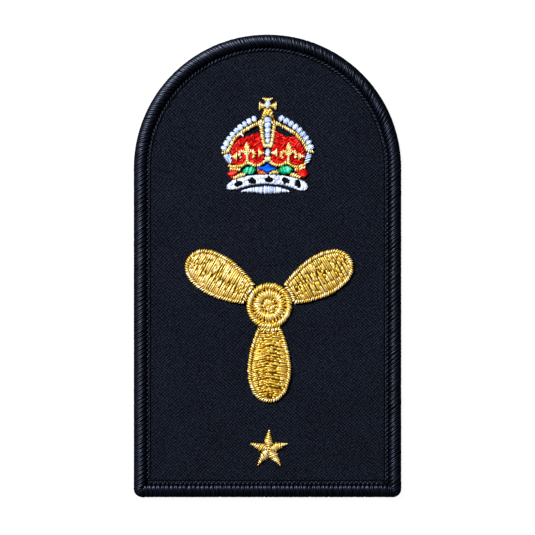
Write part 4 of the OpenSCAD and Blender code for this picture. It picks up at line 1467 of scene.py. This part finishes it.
@dataclass
class Star:
    """The small star below the propeller, each point a satin column."""

    middle: Pair = (0.35, -41.2)
    radius: float = 4.4
    waist: float = 0.42
    points: int = 5
    seed: int = 41

    def build(self, finish: ThreadFinish) -> None:
        """Builds the star.

        Args:
            finish: Its thread.
        """
        rng = np.random.default_rng(self.seed)
        half_turn = math.pi / self.points
        shoulder = self.radius * self.waist
        # Columns: x, y, half width; rows: beside the middle, the shoulders and the tip
        arm = np.array([
            [0.15, 0.0, 0.12],
            [shoulder * math.cos(half_turn), 0.0, shoulder * math.sin(half_turn)],
            [self.radius, 0.0, 0.06]])
        path = np.concatenate([np.linspace(arm[0], arm[1], 8, endpoint=False),
                               np.linspace(arm[1], arm[2], 16)])
        sewing = Sewing(lift=0.42, half_width=0.2, half_thick=0.13, wander=0.04, points=9,
                        full_length=1.2, sharpness=1.7, painted_side_shade=0.6, tone=(0.5, 1.25))
        arms = [across(path, 0.42, 0.35).turned(90 + 360 * k / self.points).moved(self.middle)
                for k in range(self.points)]
        sewing.laid(Stitches.joined(arms), rng).piece("star_stitches", finish, "star")


@dataclass
class Crown:
    """The crown, drawn in millimetres to the right of its middle and up from its foot."""

    place: Pair = (0.1, 16.3)
    arch_half: float = 0.38
    pearl_long: float = 1.50
    pearl_wide: float = 1.12
    # Power of an oval's sides: the lower, the fuller its shoulders
    fullness: float = 0.85
    pearls_per_side: int = 9
    # How far above the cloth the fleurs, half crosses and tails start
    upper: float = 0.3
    seed: int = 51
    # Columns: x, y, half width as a share of the arch's
    arch_left: Rows = (
        (-0.85, 16.15, 1.1), (-1.6, 15.95, 1.3), (-2.5, 15.55, 1), (-3.3, 15.1, 1), (-4.9, 14.3, 1),
        (-6, 13.6, 1), (-7.1, 12.6, 1), (-8, 11.4, 1), (-8.4, 10.4, 1), (-8.8, 9.7, 1),
        (-9.4, 9.15, 1), (-10.4, 9.05, 0.5))
    arch_right: Rows = (
        (0.85, 16.1, 1.1), (1.5, 15.95, 1.3), (2.3, 15.55, 1), (3, 15.2, 1), (4.4, 14.4, 1),
        (5.9, 13.6, 1), (7, 12.5, 1), (8, 11.4, 1), (8.4, 10.4, 1), (8.8, 9.8, 1),
        (9.4, 9.35, 1), (10.3, 9.3, 0.5))
    # Columns: x, y, half width
    middle_left: Rows = (
        (-1.55, 15.5, 0.44), (-1.25, 13.4, 0.42), (-0.92, 11.4, 0.38), (-0.7, 10.6, 0.3))
    circlet_left: Rows = (
        (-8.9, 6.25, 0.28), (-8, 6, 0.32), (-7, 5.98, 0.32), (-6, 6.15, 0.32),
        (-5.2, 6.55, 0.32), (-4.6, 6.95, 0.34), (-3.9, 6.65, 0.32), (-3, 6.3, 0.32),
        (-2, 6.3, 0.32), (-1.3, 6.65, 0.3), (-0.8, 7.1, 0.28))
    circlet_right: Rows = (
        (0.6, 7, 0.28), (1.2, 6.55, 0.3), (2, 6.25, 0.32), (3, 6.4, 0.32), (3.7, 6.75, 0.32),
        (4.3, 6.95, 0.34), (4.9, 6.6, 0.32), (5.8, 6.05, 0.32), (6.7, 5.9, 0.32), (7.7, 6.15, 0.32),
        (8.6, 6.7, 0.3))
    rim_left: Rows = ((-8.6, 5.45, 0.27), (-7.4, 5.35, 0.3), (-6.1, 5.3, 0.27))
    rim_right: Rows = ((6, 5.3, 0.25), (7.2, 5.45, 0.28), (8.4, 5.85, 0.25))
    foot_rope_left: Rows = ((-7.8, 3.35, 0.28), (-6.9, 3.75, 0.42), (-6, 4.1, 0.45), (-5.1, 4.2, 0.3))
    foot_rope_right: Rows = ((5, 4.2, 0.3), (5.8, 4.15, 0.42), (6.6, 3.9, 0.42), (7.35, 3.5, 0.28))
    ermine: Rows = (
        (-9.2, 1.3, 0.3), (-8.6, 1.5, 0.75), (-7.8, 1.8, 1.05), (-6.4, 2.25, 1.12), (-4.7, 2.7, 1.1),
        (-2.6, 3.05, 1.05), (0, 3.15, 1.05), (2.6, 3, 1.05), (4.7, 2.6, 1.1), (6.3, 2.15, 1.15),
        (7.5, 1.7, 1.15), (8.3, 1.35, 0.8), (8.8, 1.15, 0.35))
    lining: Rows = (
        (-6, 0.5, 0.06), (-4.5, 0.7, 0.36), (-2.5, 0.78, 0.6), (-0.2, 0.82, 0.8),
        (2, 0.75, 0.64), (3.6, 0.65, 0.38), (4.7, 0.5, 0.06))
    # Outlines. Columns: x, y
    cross_top: Rows = (
        (-1.25, 21.42), (0, 21.28), (1.15, 21.42), (0.75, 20.95), (0.4, 20.45), (-0.45, 20.45),
        (-0.8, 20.95))
    cross_left: Rows = (
        (-1.95, 20.6), (-1.35, 20.2), (-0.6, 19.95), (-0.6, 19.25), (-1.35, 18.95), (-1.9, 18.5),
        (-2, 19.55))
    orb: Rows = (
        (-0.7, 19), (0.7, 19), (1.1, 18.3), (1.4, 16.75), (1, 16.8), (0.45, 17.3), (0, 17.5),
        (-0.45, 17.3), (-1, 16.8), (-1.4, 16.75), (-1.1, 18.3))
    cap_left: Rows = (
        (-1.85, 13.7), (-3.6, 13.15), (-4.9, 12.7), (-5.8, 12.55), (-6.8, 11.8), (-7.5, 11.1),
        (-8, 10.1), (-8.3, 9.2), (-8.35, 8), (-8.25, 6.9), (-7.4, 6.4), (-6.3, 6.35), (-5.3, 6.8),
        (-4.5, 7.25), (-3.7, 6.85), (-2.6, 6.55), (-1.6, 6.75), (-0.9, 7.4), (-0.75, 8.6),
        (-0.85, 9.8), (-1.15, 11.2), (-1.45, 12.6), (-1.6, 13.5))
    cap_right: Rows = (
        (1.85, 13.9), (2.9, 13.3), (4.2, 12.65), (5, 12.7), (6.1, 12.6), (6.7, 11.95), (7.45, 11.1),
        (7.95, 10.1), (8.3, 9), (8.35, 7.9), (8, 7), (7.1, 6.35), (6, 6.4), (5.1, 6.9),
        (4.3, 7.25), (3.5, 7), (2.3, 6.6), (1.5, 6.8), (0.9, 7.4), (0.75, 8.6), (0.85, 9.8),
        (1.15, 11.2), (1.45, 12.6), (1.6, 13.7))
    side_pearl_left: Rows = (
        (-9.9, 8.4), (-9.4, 8.8), (-8.3, 9), (-8.2, 7.8), (-8.3, 6.7), (-8.75, 6.5), (-9.4, 7.3))
    side_pearl_right: Rows = (
        (8.2, 6.9), (8.45, 8.1), (8.8, 9), (9.5, 8.85), (9.95, 8.55), (9.6, 7.5), (9.1, 6.8),
        (8.6, 6.6))
    half_cross: Rows = (
        (-0.62, 1.1), (-0.5, 0.6), (-0.6, 0), (-0.5, -0.6), (-0.62, -1.1), (-0.05, -0.55), (0.72, 0),
        (-0.05, 0.55))
    # Columns: x, y, 1 where the point is to the right and -1 where it is to the left
    half_crosses: Rows = ((-7.5, 8.2, -1), (-1.55, 9, 1), (1.5, 9.05, -1), (7.5, 8.25, 1))
    ruby_left: Rows = ((-9.1, 4.4), (-8.3, 5), (-6.65, 4.85), (-7.35, 4.05), (-8.15, 3.4))
    ruby_right: Rows = (
        (6.15, 4.85), (7.6, 5.2), (8.6, 5.35), (9.15, 4.35), (8.4, 3.55), (7.6, 3.6), (6.9, 4.35))
    emerald_left: Rows = (
        (-5.85, 4.9), (-4.7, 6), (-3, 5.95), (-2.6, 4.95), (-3.6, 4.15), (-5.2, 4.4))
    emerald_right: Rows = (
        (2.3, 5.3), (3.2, 6.15), (4.8, 6.1), (5.7, 5.15), (4.8, 4.35), (3.6, 4.2), (2.5, 4.6))
    sapphire: Rows = (
        (-2.45, 5.85), (-1, 5.95), (-0.4, 6.4), (0.1, 6.8), (0.5, 6.3), (1, 5.9), (1.8, 5.75),
        (1.8, 5.45), (0.85, 5.1), (0.1, 4.4), (-0.85, 5.1), (-2.45, 5.5))
    coral_wedge: Rows = ((-2.4, 5.5), (-1.2, 5.1), (-0.25, 4.35), (-2.2, 4.3))
    gold_wedge: Rows = ((0.35, 4.4), (1.05, 5.05), (2.25, 5.35), (2.3, 4.35))
    middle_foot: Rows = ((-0.5, 8.3), (0.5, 8.3), (0.65, 7.6), (0.95, 7), (-0.95, 7), (-0.65, 7.6))
    # Columns: x, y, turn in degrees
    tails: Rows = (
        (-6.7, 2.25, 22), (-3.6, 2.9, -12), (0.15, 3.2, 0), (3.95, 2.8, 150), (6.6, 2.15, 110))
    tail: Rows = (
        (-0.2, 0.95), (0.2, 0.55), (0.85, 0.2), (0.75, -0.5), (0.15, -0.7), (-0.6, -0.6), (-0.85, 0),
        (-0.35, 0.4))
    # The four places of each arc of pearls. Columns: x, y
    pearl_arc_left: Rows = ((-3.03, 16.65), (-6.08, 15.3), (-8.49, 12.97), (-9.8, 10.07))
    pearl_arc_right: Rows = ((3, 16.75), (6.13, 15.4), (8.48, 13.2), (9.6, 10.37))
    # Columns: x, y, half height, half width
    middle_pearls: Rows = (
        (0, 16.45, 0.63, 0.92), (0, 15.3, 0.66, 0.78), (0, 14.15, 0.66, 0.72),
        (0, 13, 0.66, 0.66), (0, 11.85, 0.62, 0.58))
    cross_pearl: tuple[float, ...] = (0, 19.95, 0.78, 0.66)
    middle_knot: tuple[float, ...] = (0, 10.65, 0.5, 0.95)
    middle_low_pearl: tuple[float, ...] = (0, 9.15, 0.85, 0.6)
    pearl_column: Rows = ((-0.66, 16.6), (0.66, 16.6), (0.4, 11.6), (-0.4, 11.6))
    # Fleur de lis about its waist: its strokes' x, y and half width, its petal's outline, and
    # where each one stands
    fleur_stem: Rows = ((0, 0.1, 0.3), (0.03, -0.8, 0.26), (0.1, -1.6, 0.28), (0.12, -2.3, 0.4))
    fleur_curl: Rows = (
        (0.28, -0.75, 0.22), (0.54, -0.14, 0.3), (1.1, 0.1, 0.36), (1.64, -0.32, 0.38),
        (1.68, -1, 0.34), (1.25, -1.45, 0.2))
    fleur_petal: Rows = (
        (0, 2.15), (0.42, 1.4), (0.58, 0.7), (0.35, -0.1), (-0.35, -0.1), (-0.58, 0.7), (-0.42, 1.4))
    fleurs: Rows = ((-4.7, 9.4, 1), (4.7, 9.3, -1))

    def rows(self, table: Rows, mirror: bool = False) -> Array:
        """A table as an array, mirrored left to right if asked."""
        made = np.array(table, float)
        if mirror:
            made[:, 0] *= -1
        return made

    def roped(self, table: Rows, pitch: float, slant: float = 0.0, mirror: bool = False,
              widen: float = 1.0) -> Stitches:
        """Satin stitches across the smooth path through a table, its half widths widened."""
        return across(smooth(self.rows(table, mirror) * [1, 1, widen], 4), pitch, slant)

    def filled(self, table: Rows, degrees: float, pitch: float, mirror: bool = False,
               curved: bool = False) -> Stitches:
        """Parallel stitches that fill a table's outline, or the smooth curve through it."""
        outline = self.rows(table, mirror)
        return scanned(smooth(outline, 3, closed=True) if curved else outline, degrees, pitch)

    def sewn(self, stitches: list[Stitches], sewing: Sewing, rng: Rng,
             rise: float = 0.0, painted_shade_drop: float = 0.0) -> Surface:
        """Stitches drawn on the crown, laid on the badge.

        With u a stitch's place across its shape, from -1 to 1, it is raised by the rise times
        1 less the square of u, and darkened by painted_shade_drop times the cube of the size of u:
        painted shade on a shape's outer stitches.

        Args:
            stitches: The stitches of each shape.
            sewing: How they are laid.
            rng: The source of the unevenness.
            rise: How far a shape's middle stitches are raised.
            painted_shade_drop: How much darker its outer stitches are painted, as shade.

        Returns:
            The threads.
        """
        drawn = Stitches.joined(stitches).moved(self.place)
        u = 2 * drawn.share - 1
        dome = np.repeat((rise * (1 - u * u))[:, None], sewing.points, 1)
        return sewing.laid(drawn, rng, dome, painted_shade_drop * np.abs(u) ** 3)

    def oval(self, row: tuple[float, ...]) -> Array:
        """An upright oval with full shoulders.

        It is a circle of radius 1 whose x and y keep their signs, are raised to the power of the
        fullness, and are multiplied by the half width and height.

        Args:
            row: x, y, half height and half width.

        Returns:
            Its corners.
        """
        round_one = circle(24, 1.0)
        full = np.sign(round_one) * np.abs(round_one) ** self.fullness
        return np.array(row[:2]) + full * [row[3], row[2]]

    def pearl_row(self, arc: Rows) -> list[Stitches]:
        """Pearls along an arc, each a few satin stitches set square to it.

        The four places' weights at share t are the cube of 1 - t, 3t times its square, 3tt times
        1 - t, and ttt.

        Args:
            arc: The four places.

        Returns:
            The stitches of each pearl.
        """
        p = self.rows(arc)
        t = np.linspace(0, 1, self.pearls_per_side)[:, None]
        at = (1 - t) ** 3 * p[0] + 3 * t * (1 - t) ** 2 * p[1] \
            + 3 * t * t * (1 - t) * p[2] + t ** 3 * p[3]
        along = unit(3 * (1 - t) ** 2 * (p[1] - p[0]) + 6 * t * (1 - t) * (p[2] - p[1])
                     + 3 * t * t * (p[3] - p[2]))
        square = np.degrees(np.arctan2(along[:, 0], -along[:, 1]))
        plain = self.oval((0.0, 0.0, self.pearl_wide / 2, self.pearl_long / 2))
        fill = scanned(plain, 12, 0.29)
        return [fill.turned(float(a)).moved((float(x), float(y))) for a, (x, y) in zip(square, at)]

    def cross(self, finish: ThreadFinish, rng: Rng) -> None:
        """The cross and the orb below it, whose lower layer is painted darker as shade."""
        flat = Sewing(half_width=0.18, wander=0.03, full_length=0.8, painted_end_shade=0.4, painted_side_shade=0.5,
                      tone=(0.6, 1.4))
        under = Sewing(lift=0.26, wander=0.03, full_length=1.2, tone=(-0.1, 0.5))
        over = Sewing(base=SEWN + 0.14, half_width=0.19, wander=0.06, full_length=1.2,
                      tone=(0.5, 1.1))
        Surface.joined([
            self.sewn([self.filled(self.cross_top, 90, 0.3), self.filled(self.cross_left, 90, 0.32),
                       self.filled(self.cross_left, 90, 0.32, mirror=True)], flat, rng),
            self.sewn([self.filled(self.orb, 38, 0.3)], under, rng),
            self.sewn([self.filled(self.orb, 142, 0.55), self.filled(self.orb, 60, 0.8)], over, rng),
        ]).piece("cross_and_orb", finish,
                 "cross_arm_top", "cross_arm_left", "cross_arm_right", "orb")

    def pearls(self, finish: ThreadFinish, rng: Rng) -> None:
        """Every pearl, and the two white side pieces."""
        ovals = [scanned(self.oval(row), 8, 0.27)
                 for row in (*self.middle_pearls, self.cross_pearl, self.middle_low_pearl)]
        rows = self.pearl_row(self.pearl_arc_left) + self.pearl_row(self.pearl_arc_right)
        sides = [self.filled(self.side_pearl_left, 75, 0.36),
                 self.filled(self.side_pearl_right, 20, 0.40)]
        # The layer beneath the middle pearls is painted darker, as shade
        beneath = Sewing(lift=0.1, half_width=0.16, half_thick=0.1, points=6, sides=5,
                         tone=(-0.2, 0.3))
        rounded = Sewing(lift=0.34, half_width=0.17, half_thick=0.14, wander=0.025,
                         full_length=1.2, sharpness=2.0, points=9, lift_spread=0.05,
                         painted_end_shade=0.6, painted_side_shade=0.5, tone=(0.4, 1.1))
        flat = Sewing(lift=0.36, half_width=0.19, half_thick=0.14, wander=0.03, full_length=1.0,
                      painted_end_shade=0.4, tone=(0.3, 1.0))
        Surface.joined([
            self.sewn([self.filled(self.pearl_column, 0, 0.24)], beneath, rng),
            self.sewn(ovals + rows, rounded, rng, rise=0.24, painted_shade_drop=0.7),
            self.sewn(sides, flat, rng),
        ]).piece("pearl_stitches", finish, "pearls_left", "pearls_right", "pearls_middle",
                 "cross_pearl", "middle_low_pearl", "side_pearl_left", "side_pearl_right")

    def arches(self, finish: ThreadFinish, rng: Rng) -> None:
        """The side arches and the pair of bars in the middle."""
        sides = ((self.arch_left, 0.6), (self.arch_right, -0.6))
        under = [self.roped(table, 0.36, widen=self.arch_half) for table, _ in sides]
        over = [self.roped(table, 0.5, slant, widen=self.arch_half) for table, slant in sides]
        for mirror in (False, True):
            under.append(self.roped(self.middle_left, 0.36, mirror=mirror))
            over.append(self.roped(self.middle_left, 0.47, 0.5, mirror))
        over += [scanned(self.oval(self.middle_knot), 60, 0.33),
                 self.filled(self.middle_foot, 90, 0.33)]
        # The lower layer is painted darker, as shade
        low = Sewing(lift=0.14, half_thick=0.1, points=5, sides=5, tone=(-0.3, 0.2))
        high = Sewing(lift=0.38, half_width=0.21, half_thick=0.16, full_length=0.6, longer=0.03,
                      painted_end_shade=0.8, end_power=2.5, painted_side_shade=0.8, tone=(0.7, 1.5))
        Surface.joined([self.sewn(under, low, rng), self.sewn(over, high, rng)]).piece(
            "arch_stitches", finish, "arch_left", "arch_right", "middle_arch_left",
            "middle_arch_right", "middle_knot", "middle_foot")

    def circlet(self, finish: ThreadFinish, rng: Rng) -> None:
        """The gold ropes between and under the jewels."""
        tables = (self.circlet_left, self.circlet_right, self.rim_left, self.rim_right,
                  self.foot_rope_left, self.foot_rope_right)
        under = [self.roped(table, 0.36) for table in tables]
        over = [self.roped(table, 0.48, 0.6) for table in tables]
        over.append(self.filled(self.gold_wedge, 70, 0.38))
        # The lower layer is painted darker, as shade
        low = Sewing(lift=0.12, half_thick=0.1, points=5, sides=5, longer=0.06, tone=(-0.3, 0.2))
        high = Sewing(lift=0.32, half_width=0.21, half_thick=0.16, full_length=0.5, longer=0.04,
                      painted_end_shade=0.8, end_power=2.5, painted_side_shade=0.8, tone=(0.65, 1.45))
        Surface.joined([self.sewn(under, low, rng), self.sewn(over, high, rng)]).piece(
            "circlet_ropes", finish, "circlet_left", "circlet_right", "rim_left", "rim_right",
            "foot_rope_left", "foot_rope_right", "gold_wedge")

    def caps(self, finish: ThreadFinish, rng: Rng) -> None:
        """The two red caps: a base painted dark as shade, stitches in four parts one way, and loose
        ones across them.
        """
        base = Sewing(lift=0.05, half_width=0.26, half_thick=0.1, wander=0.0, points=6, sides=5,
                      tone=(-0.8, -0.4))
        under = Sewing(lift=0.16, half_width=0.155, wander=0.04, full_length=1.0, lift_spread=0.3,
                       painted_end_shade=0.7, painted_side_shade=0.5, tone=(0.0, 1.1))
        over = Sewing(base=SEWN + 0.12, lift=0.18, half_width=0.13, half_thick=0.11, wander=0.08,
                      full_length=1.0, painted_side_shade=0.5, tone=(0.3, 1.4))
        parts = []
        for table, lean in ((self.cap_left, 32), (self.cap_right, -18)):
            parts.append(self.sewn([self.filled(table, lean, 0.40, curved=True)], base, rng))
            drawn = self.filled(table, lean, 0.31, curved=True)
            for spread in (0.09, 0.12):
                count = len(drawn.start)
                drawn = drawn.split(0.5 + rng.normal(0, spread, count), -0.01)
            parts.append(self.sewn([drawn], under, rng))
            loose = self.filled(table, lean + 75, 0.56, curved=True)
            for at, gap in (((0.2, 0.8), (0.2, 0.7)), ((0.3, 0.7), (0.0, 0.3))):
                count = len(loose.start)
                loose = loose.split(rng.uniform(*at, count), rng.uniform(*gap, count))
                loose = loose.kept(loose.length() > 0.4)
            parts.append(self.sewn([loose], over, rng))
        Surface.joined(parts).piece("cap_stitches", finish, "cap_left", "cap_right")

    def fleurs_and_crosses(self, finish: ThreadFinish, rng: Rng) -> None:
        """The two fleurs de lis and the four half crosses on the caps."""
        drawn = []
        for x, y, side in self.fleurs:
            shapes = [self.roped(self.fleur_stem, 0.40, 0.3, side < 0),
                      self.filled(self.fleur_petal, 65, 0.33, curved=True)]
            shapes += [self.roped(self.fleur_curl, 0.40, 0.1, mirror) for mirror in (False, True)]
            drawn += [shape.moved((x, y)) for shape in shapes]
        for x, y, side in self.half_crosses:
            drawn.append(self.filled(self.half_cross, 90, 0.32, side < 0).moved((x, y)))
        sewing = Sewing(base=SEWN + self.upper, lift=0.26, half_width=0.17, half_thick=0.14,
                        wander=0.03, full_length=0.8, painted_end_shade=0.45, painted_side_shade=0.5,
                        tone=(0.5, 1.5))
        self.sewn(drawn, sewing, rng).piece(
            "fleur_stitches", finish, "fleur_left", "fleur_right", "half_cross_far_left",
            "half_cross_left", "half_cross_right", "half_cross_far_right")

    def jewels(self, finishes: Finishes, rng: Rng) -> None:
        """The jewels, each a smooth satin fill."""
        sewing = Sewing(lift=0.34, half_width=0.18, wander=0.025, full_length=1.6, points=9,
                        sharpness=2.2, lift_spread=0.06, painted_end_shade=0.6, end_power=3.0,
                        painted_side_shade=0.25, tone=(0.3, 1.15))
        low = Sewing(lift=0.2, half_width=0.17, wander=0.04)
        sets = (
            (finishes.ruby, "ruby_stitches", sewing, (
                ("ruby_left", self.ruby_left, 12, 0.28), ("ruby_right", self.ruby_right, -12, 0.28))),
            (finishes.green, "emerald_stitches", sewing, (
                ("emerald_left", self.emerald_left, 70, 0.28),
                ("emerald_right", self.emerald_right, 110, 0.28))),
            (finishes.blue, "sapphire_stitches", sewing, (("sapphire", self.sapphire, 4, 0.28),)),
            (finishes.coral, "coral_stitches", low, (("coral_wedge", self.coral_wedge, 60, 0.3),)))
        for finish, name, how, stones in sets:
            drawn = [self.filled(table, degrees, pitch) for _, table, degrees, pitch in stones]
            # A stone's outer stitches are painted darker, as shade
            self.sewn(drawn, how, rng, rise=0.18, painted_shade_drop=0.8).piece(
                name, finish, *(node for node, *_ in stones))

    def fur(self, finishes: Finishes, rng: Rng) -> None:
        """The ermine band with its tails, and the lining below it."""
        band = self.roped(self.ermine, 0.26, 0.08)
        count = len(band.start)
        band = band.split(0.5 + rng.normal(0, 0.16, count), -0.04)
        white = Sewing(lift=0.24, half_width=0.17, half_thick=0.12, wander=0.035, full_length=1.0,
                       sharpness=3.0, lift_spread=0.12, tone=(0.2, 1.3))
        self.sewn([band], white, rng).piece("ermine_band_stitches", finishes.white, "ermine_band")
        tail = self.filled(self.tail, 80, 0.24, curved=True)
        tails = [tail.turned(turn).moved((x, y)) for x, y, turn in self.tails]
        dark = Sewing(base=SEWN + self.upper, lift=0.12, half_width=0.19, wander=0.03,
                      full_length=0.8)
        self.sewn(tails, dark, rng).piece("ermine_tail_stitches", finishes.black, "ermine_tails")
        low = self.roped(self.lining, 0.26)
        count = len(low.end)
        low.end += np.stack([rng.normal(0, 0.03, count), -np.abs(rng.normal(0, 0.12, count))], -1)
        frayed = Sewing(lift=0.24, half_width=0.17, half_thick=0.12, wander=0.035, full_length=1.0,
                        lift_spread=0.12, painted_end_shade=0.6, painted_side_shade=0.5, tone=(-0.1, 1.2))
        self.sewn([low], frayed, rng).piece("lining_stitches", finishes.white, "lining")

    def build(self, finishes: Finishes) -> None:
        """Builds the crown.

        Args:
            finishes: The finishes of the badge.
        """
        rng = np.random.default_rng(self.seed)
        self.cross(finishes.gold, rng)
        self.pearls(finishes.pearl, rng)
        self.arches(finishes.gold, rng)
        self.circlet(finishes.gold, rng)
        self.caps(finishes.red, rng)
        self.fleurs_and_crosses(finishes.pale_gold, rng)
        self.jewels(finishes, rng)
        self.fur(finishes, rng)


@dataclass
class StrayStitches:
    """Two short ends of white thread that show beside a blade's root and a crown arch."""

    # Columns: x, y, half the way across, half the way up
    ends: Rows = ((-3.98, -5.68, 0.34, 0.34), (-5.66, 29.35, 0.38, -0.38))
    seed: int = 61

    def build(self, finish: ThreadFinish) -> None:
        """Lays the two ends.

        Args:
            finish: Their thread.
        """
        rows = np.array(self.ends)
        way = rows[:, 2:]
        sewing = Sewing(base=SEWN + 0.35, half_width=0.22, half_thick=0.14, wander=0.0,
                        full_length=0.7, tone=(0.9, 1.2), painted_side_shade=0.2, painted_end_shade=0.2)
        stitches = Stitches(rows[:, :2] - way, rows[:, :2] + way, rows[:, 0])
        sewing.laid(stitches, np.random.default_rng(self.seed)).piece("stray_white_stitches", finish)


@dataclass
class Studio:
    """The pale floor, the soft light and the camera: view and aim in millimetres, else metres."""

    view_mm: float = 120.2
    aim: Pair = (0.0, -0.35)
    distance: float = 1.2
    sensor_mm: float = 36.0
    floor_half: float = 3.0
    floor_level: float = -0.0001
    floor_colour: Colour = (0.10, 0.10, 0.10)
    floor_glow: float = 0.97
    room_light: float = 0.022
    light_place: tuple[float, float, float] = (-0.65, 0.68, 0.90)
    light_side: float = 0.42
    light_watts: float = 34.0

    def floor(self) -> None:
        """The floor: a wide level square, lit from within like a light table."""
        mesh = bpy.data.meshes.new("floor")
        far = self.floor_half
        mesh.from_pydata([(x, y, self.floor_level) for x, y in (
            (-far, -far), (far, -far), (far, far), (-far, far))], [], [(0, 1, 2, 3)])
        shader = Shader("pale_floor")
        mesh.materials.append(shader.finish({
            "Base Color": (*self.floor_colour, 1.0), "Roughness": 0.9, "Specular IOR Level": 0.0,
            "Emission Color": (1.0, 1.0, 1.0, 1.0), "Emission Strength": self.floor_glow}))
        made = bpy.data.objects.new("floor", mesh)
        bpy.context.scene.collection.objects.link(made)
        made.visible_glossy = False
        made.visible_diffuse = False

    def light(self) -> None:
        """A square soft light that faces the badge, and an even faint light from the room."""
        lamp = bpy.data.lights.new("key_light", "AREA")
        lamp.size = self.light_side
        lamp.energy = self.light_watts
        made = bpy.data.objects.new("key_light", lamp)
        made.location = self.light_place
        made.rotation_euler = (-Vector(self.light_place)).to_track_quat("-Z", "Y").to_euler()
        bpy.context.scene.collection.objects.link(made)
        world = bpy.data.worlds.new("soft_room")
        world.use_nodes = True
        background = world.node_tree.nodes["Background"].inputs
        background["Color"].default_value = (1.0, 1.0, 1.0, 1.0)
        background["Strength"].default_value = self.room_light
        bpy.context.scene.world = world

    def build(self) -> None:
        """Builds the floor, the light and the camera."""
        self.floor()
        self.light()
        scene = bpy.context.scene
        scene.view_settings.view_transform = "Standard"
        camera = bpy.data.cameras.new("camera")
        camera.sensor_width = self.sensor_mm
        camera.lens = self.sensor_mm * self.distance / (self.view_mm * MM)
        camera.clip_start = 0.01
        camera.clip_end = 20.0
        made = bpy.data.objects.new("camera", camera)
        made.location = (self.aim[0] * MM, self.aim[1] * MM, self.distance)
        scene.collection.objects.link(made)
        scene.camera = made


def main() -> None:
    """Builds the badge."""
    finishes = Finishes()
    Studio().build()
    Cloth().build(ClothFinish())
    Border().build(finishes)
    for blade in (Blade("left", 150, 21.2, 9.3, 21),
                  Blade("right", 30, 21.2, 9.3, 22, shade=0.05, broken=(0.6, 0.4),
                        crossed=0.4, middle_painted_shade=0.1),
                  Blade("lower", 270, 21.7, 9.6, 23, root_gap=0.05, shade=0.22, parting=0.42,
                        broken=(0.7, 0.5), crossed=0.8, slant=0.25)):
        blade.build(finishes)
    Hub().build(finishes.gold)
    Star().build(finishes.gold)
    Crown().build(finishes)
    StrayStitches().build(finishes.white)


if __name__ == "__main__":
    main()
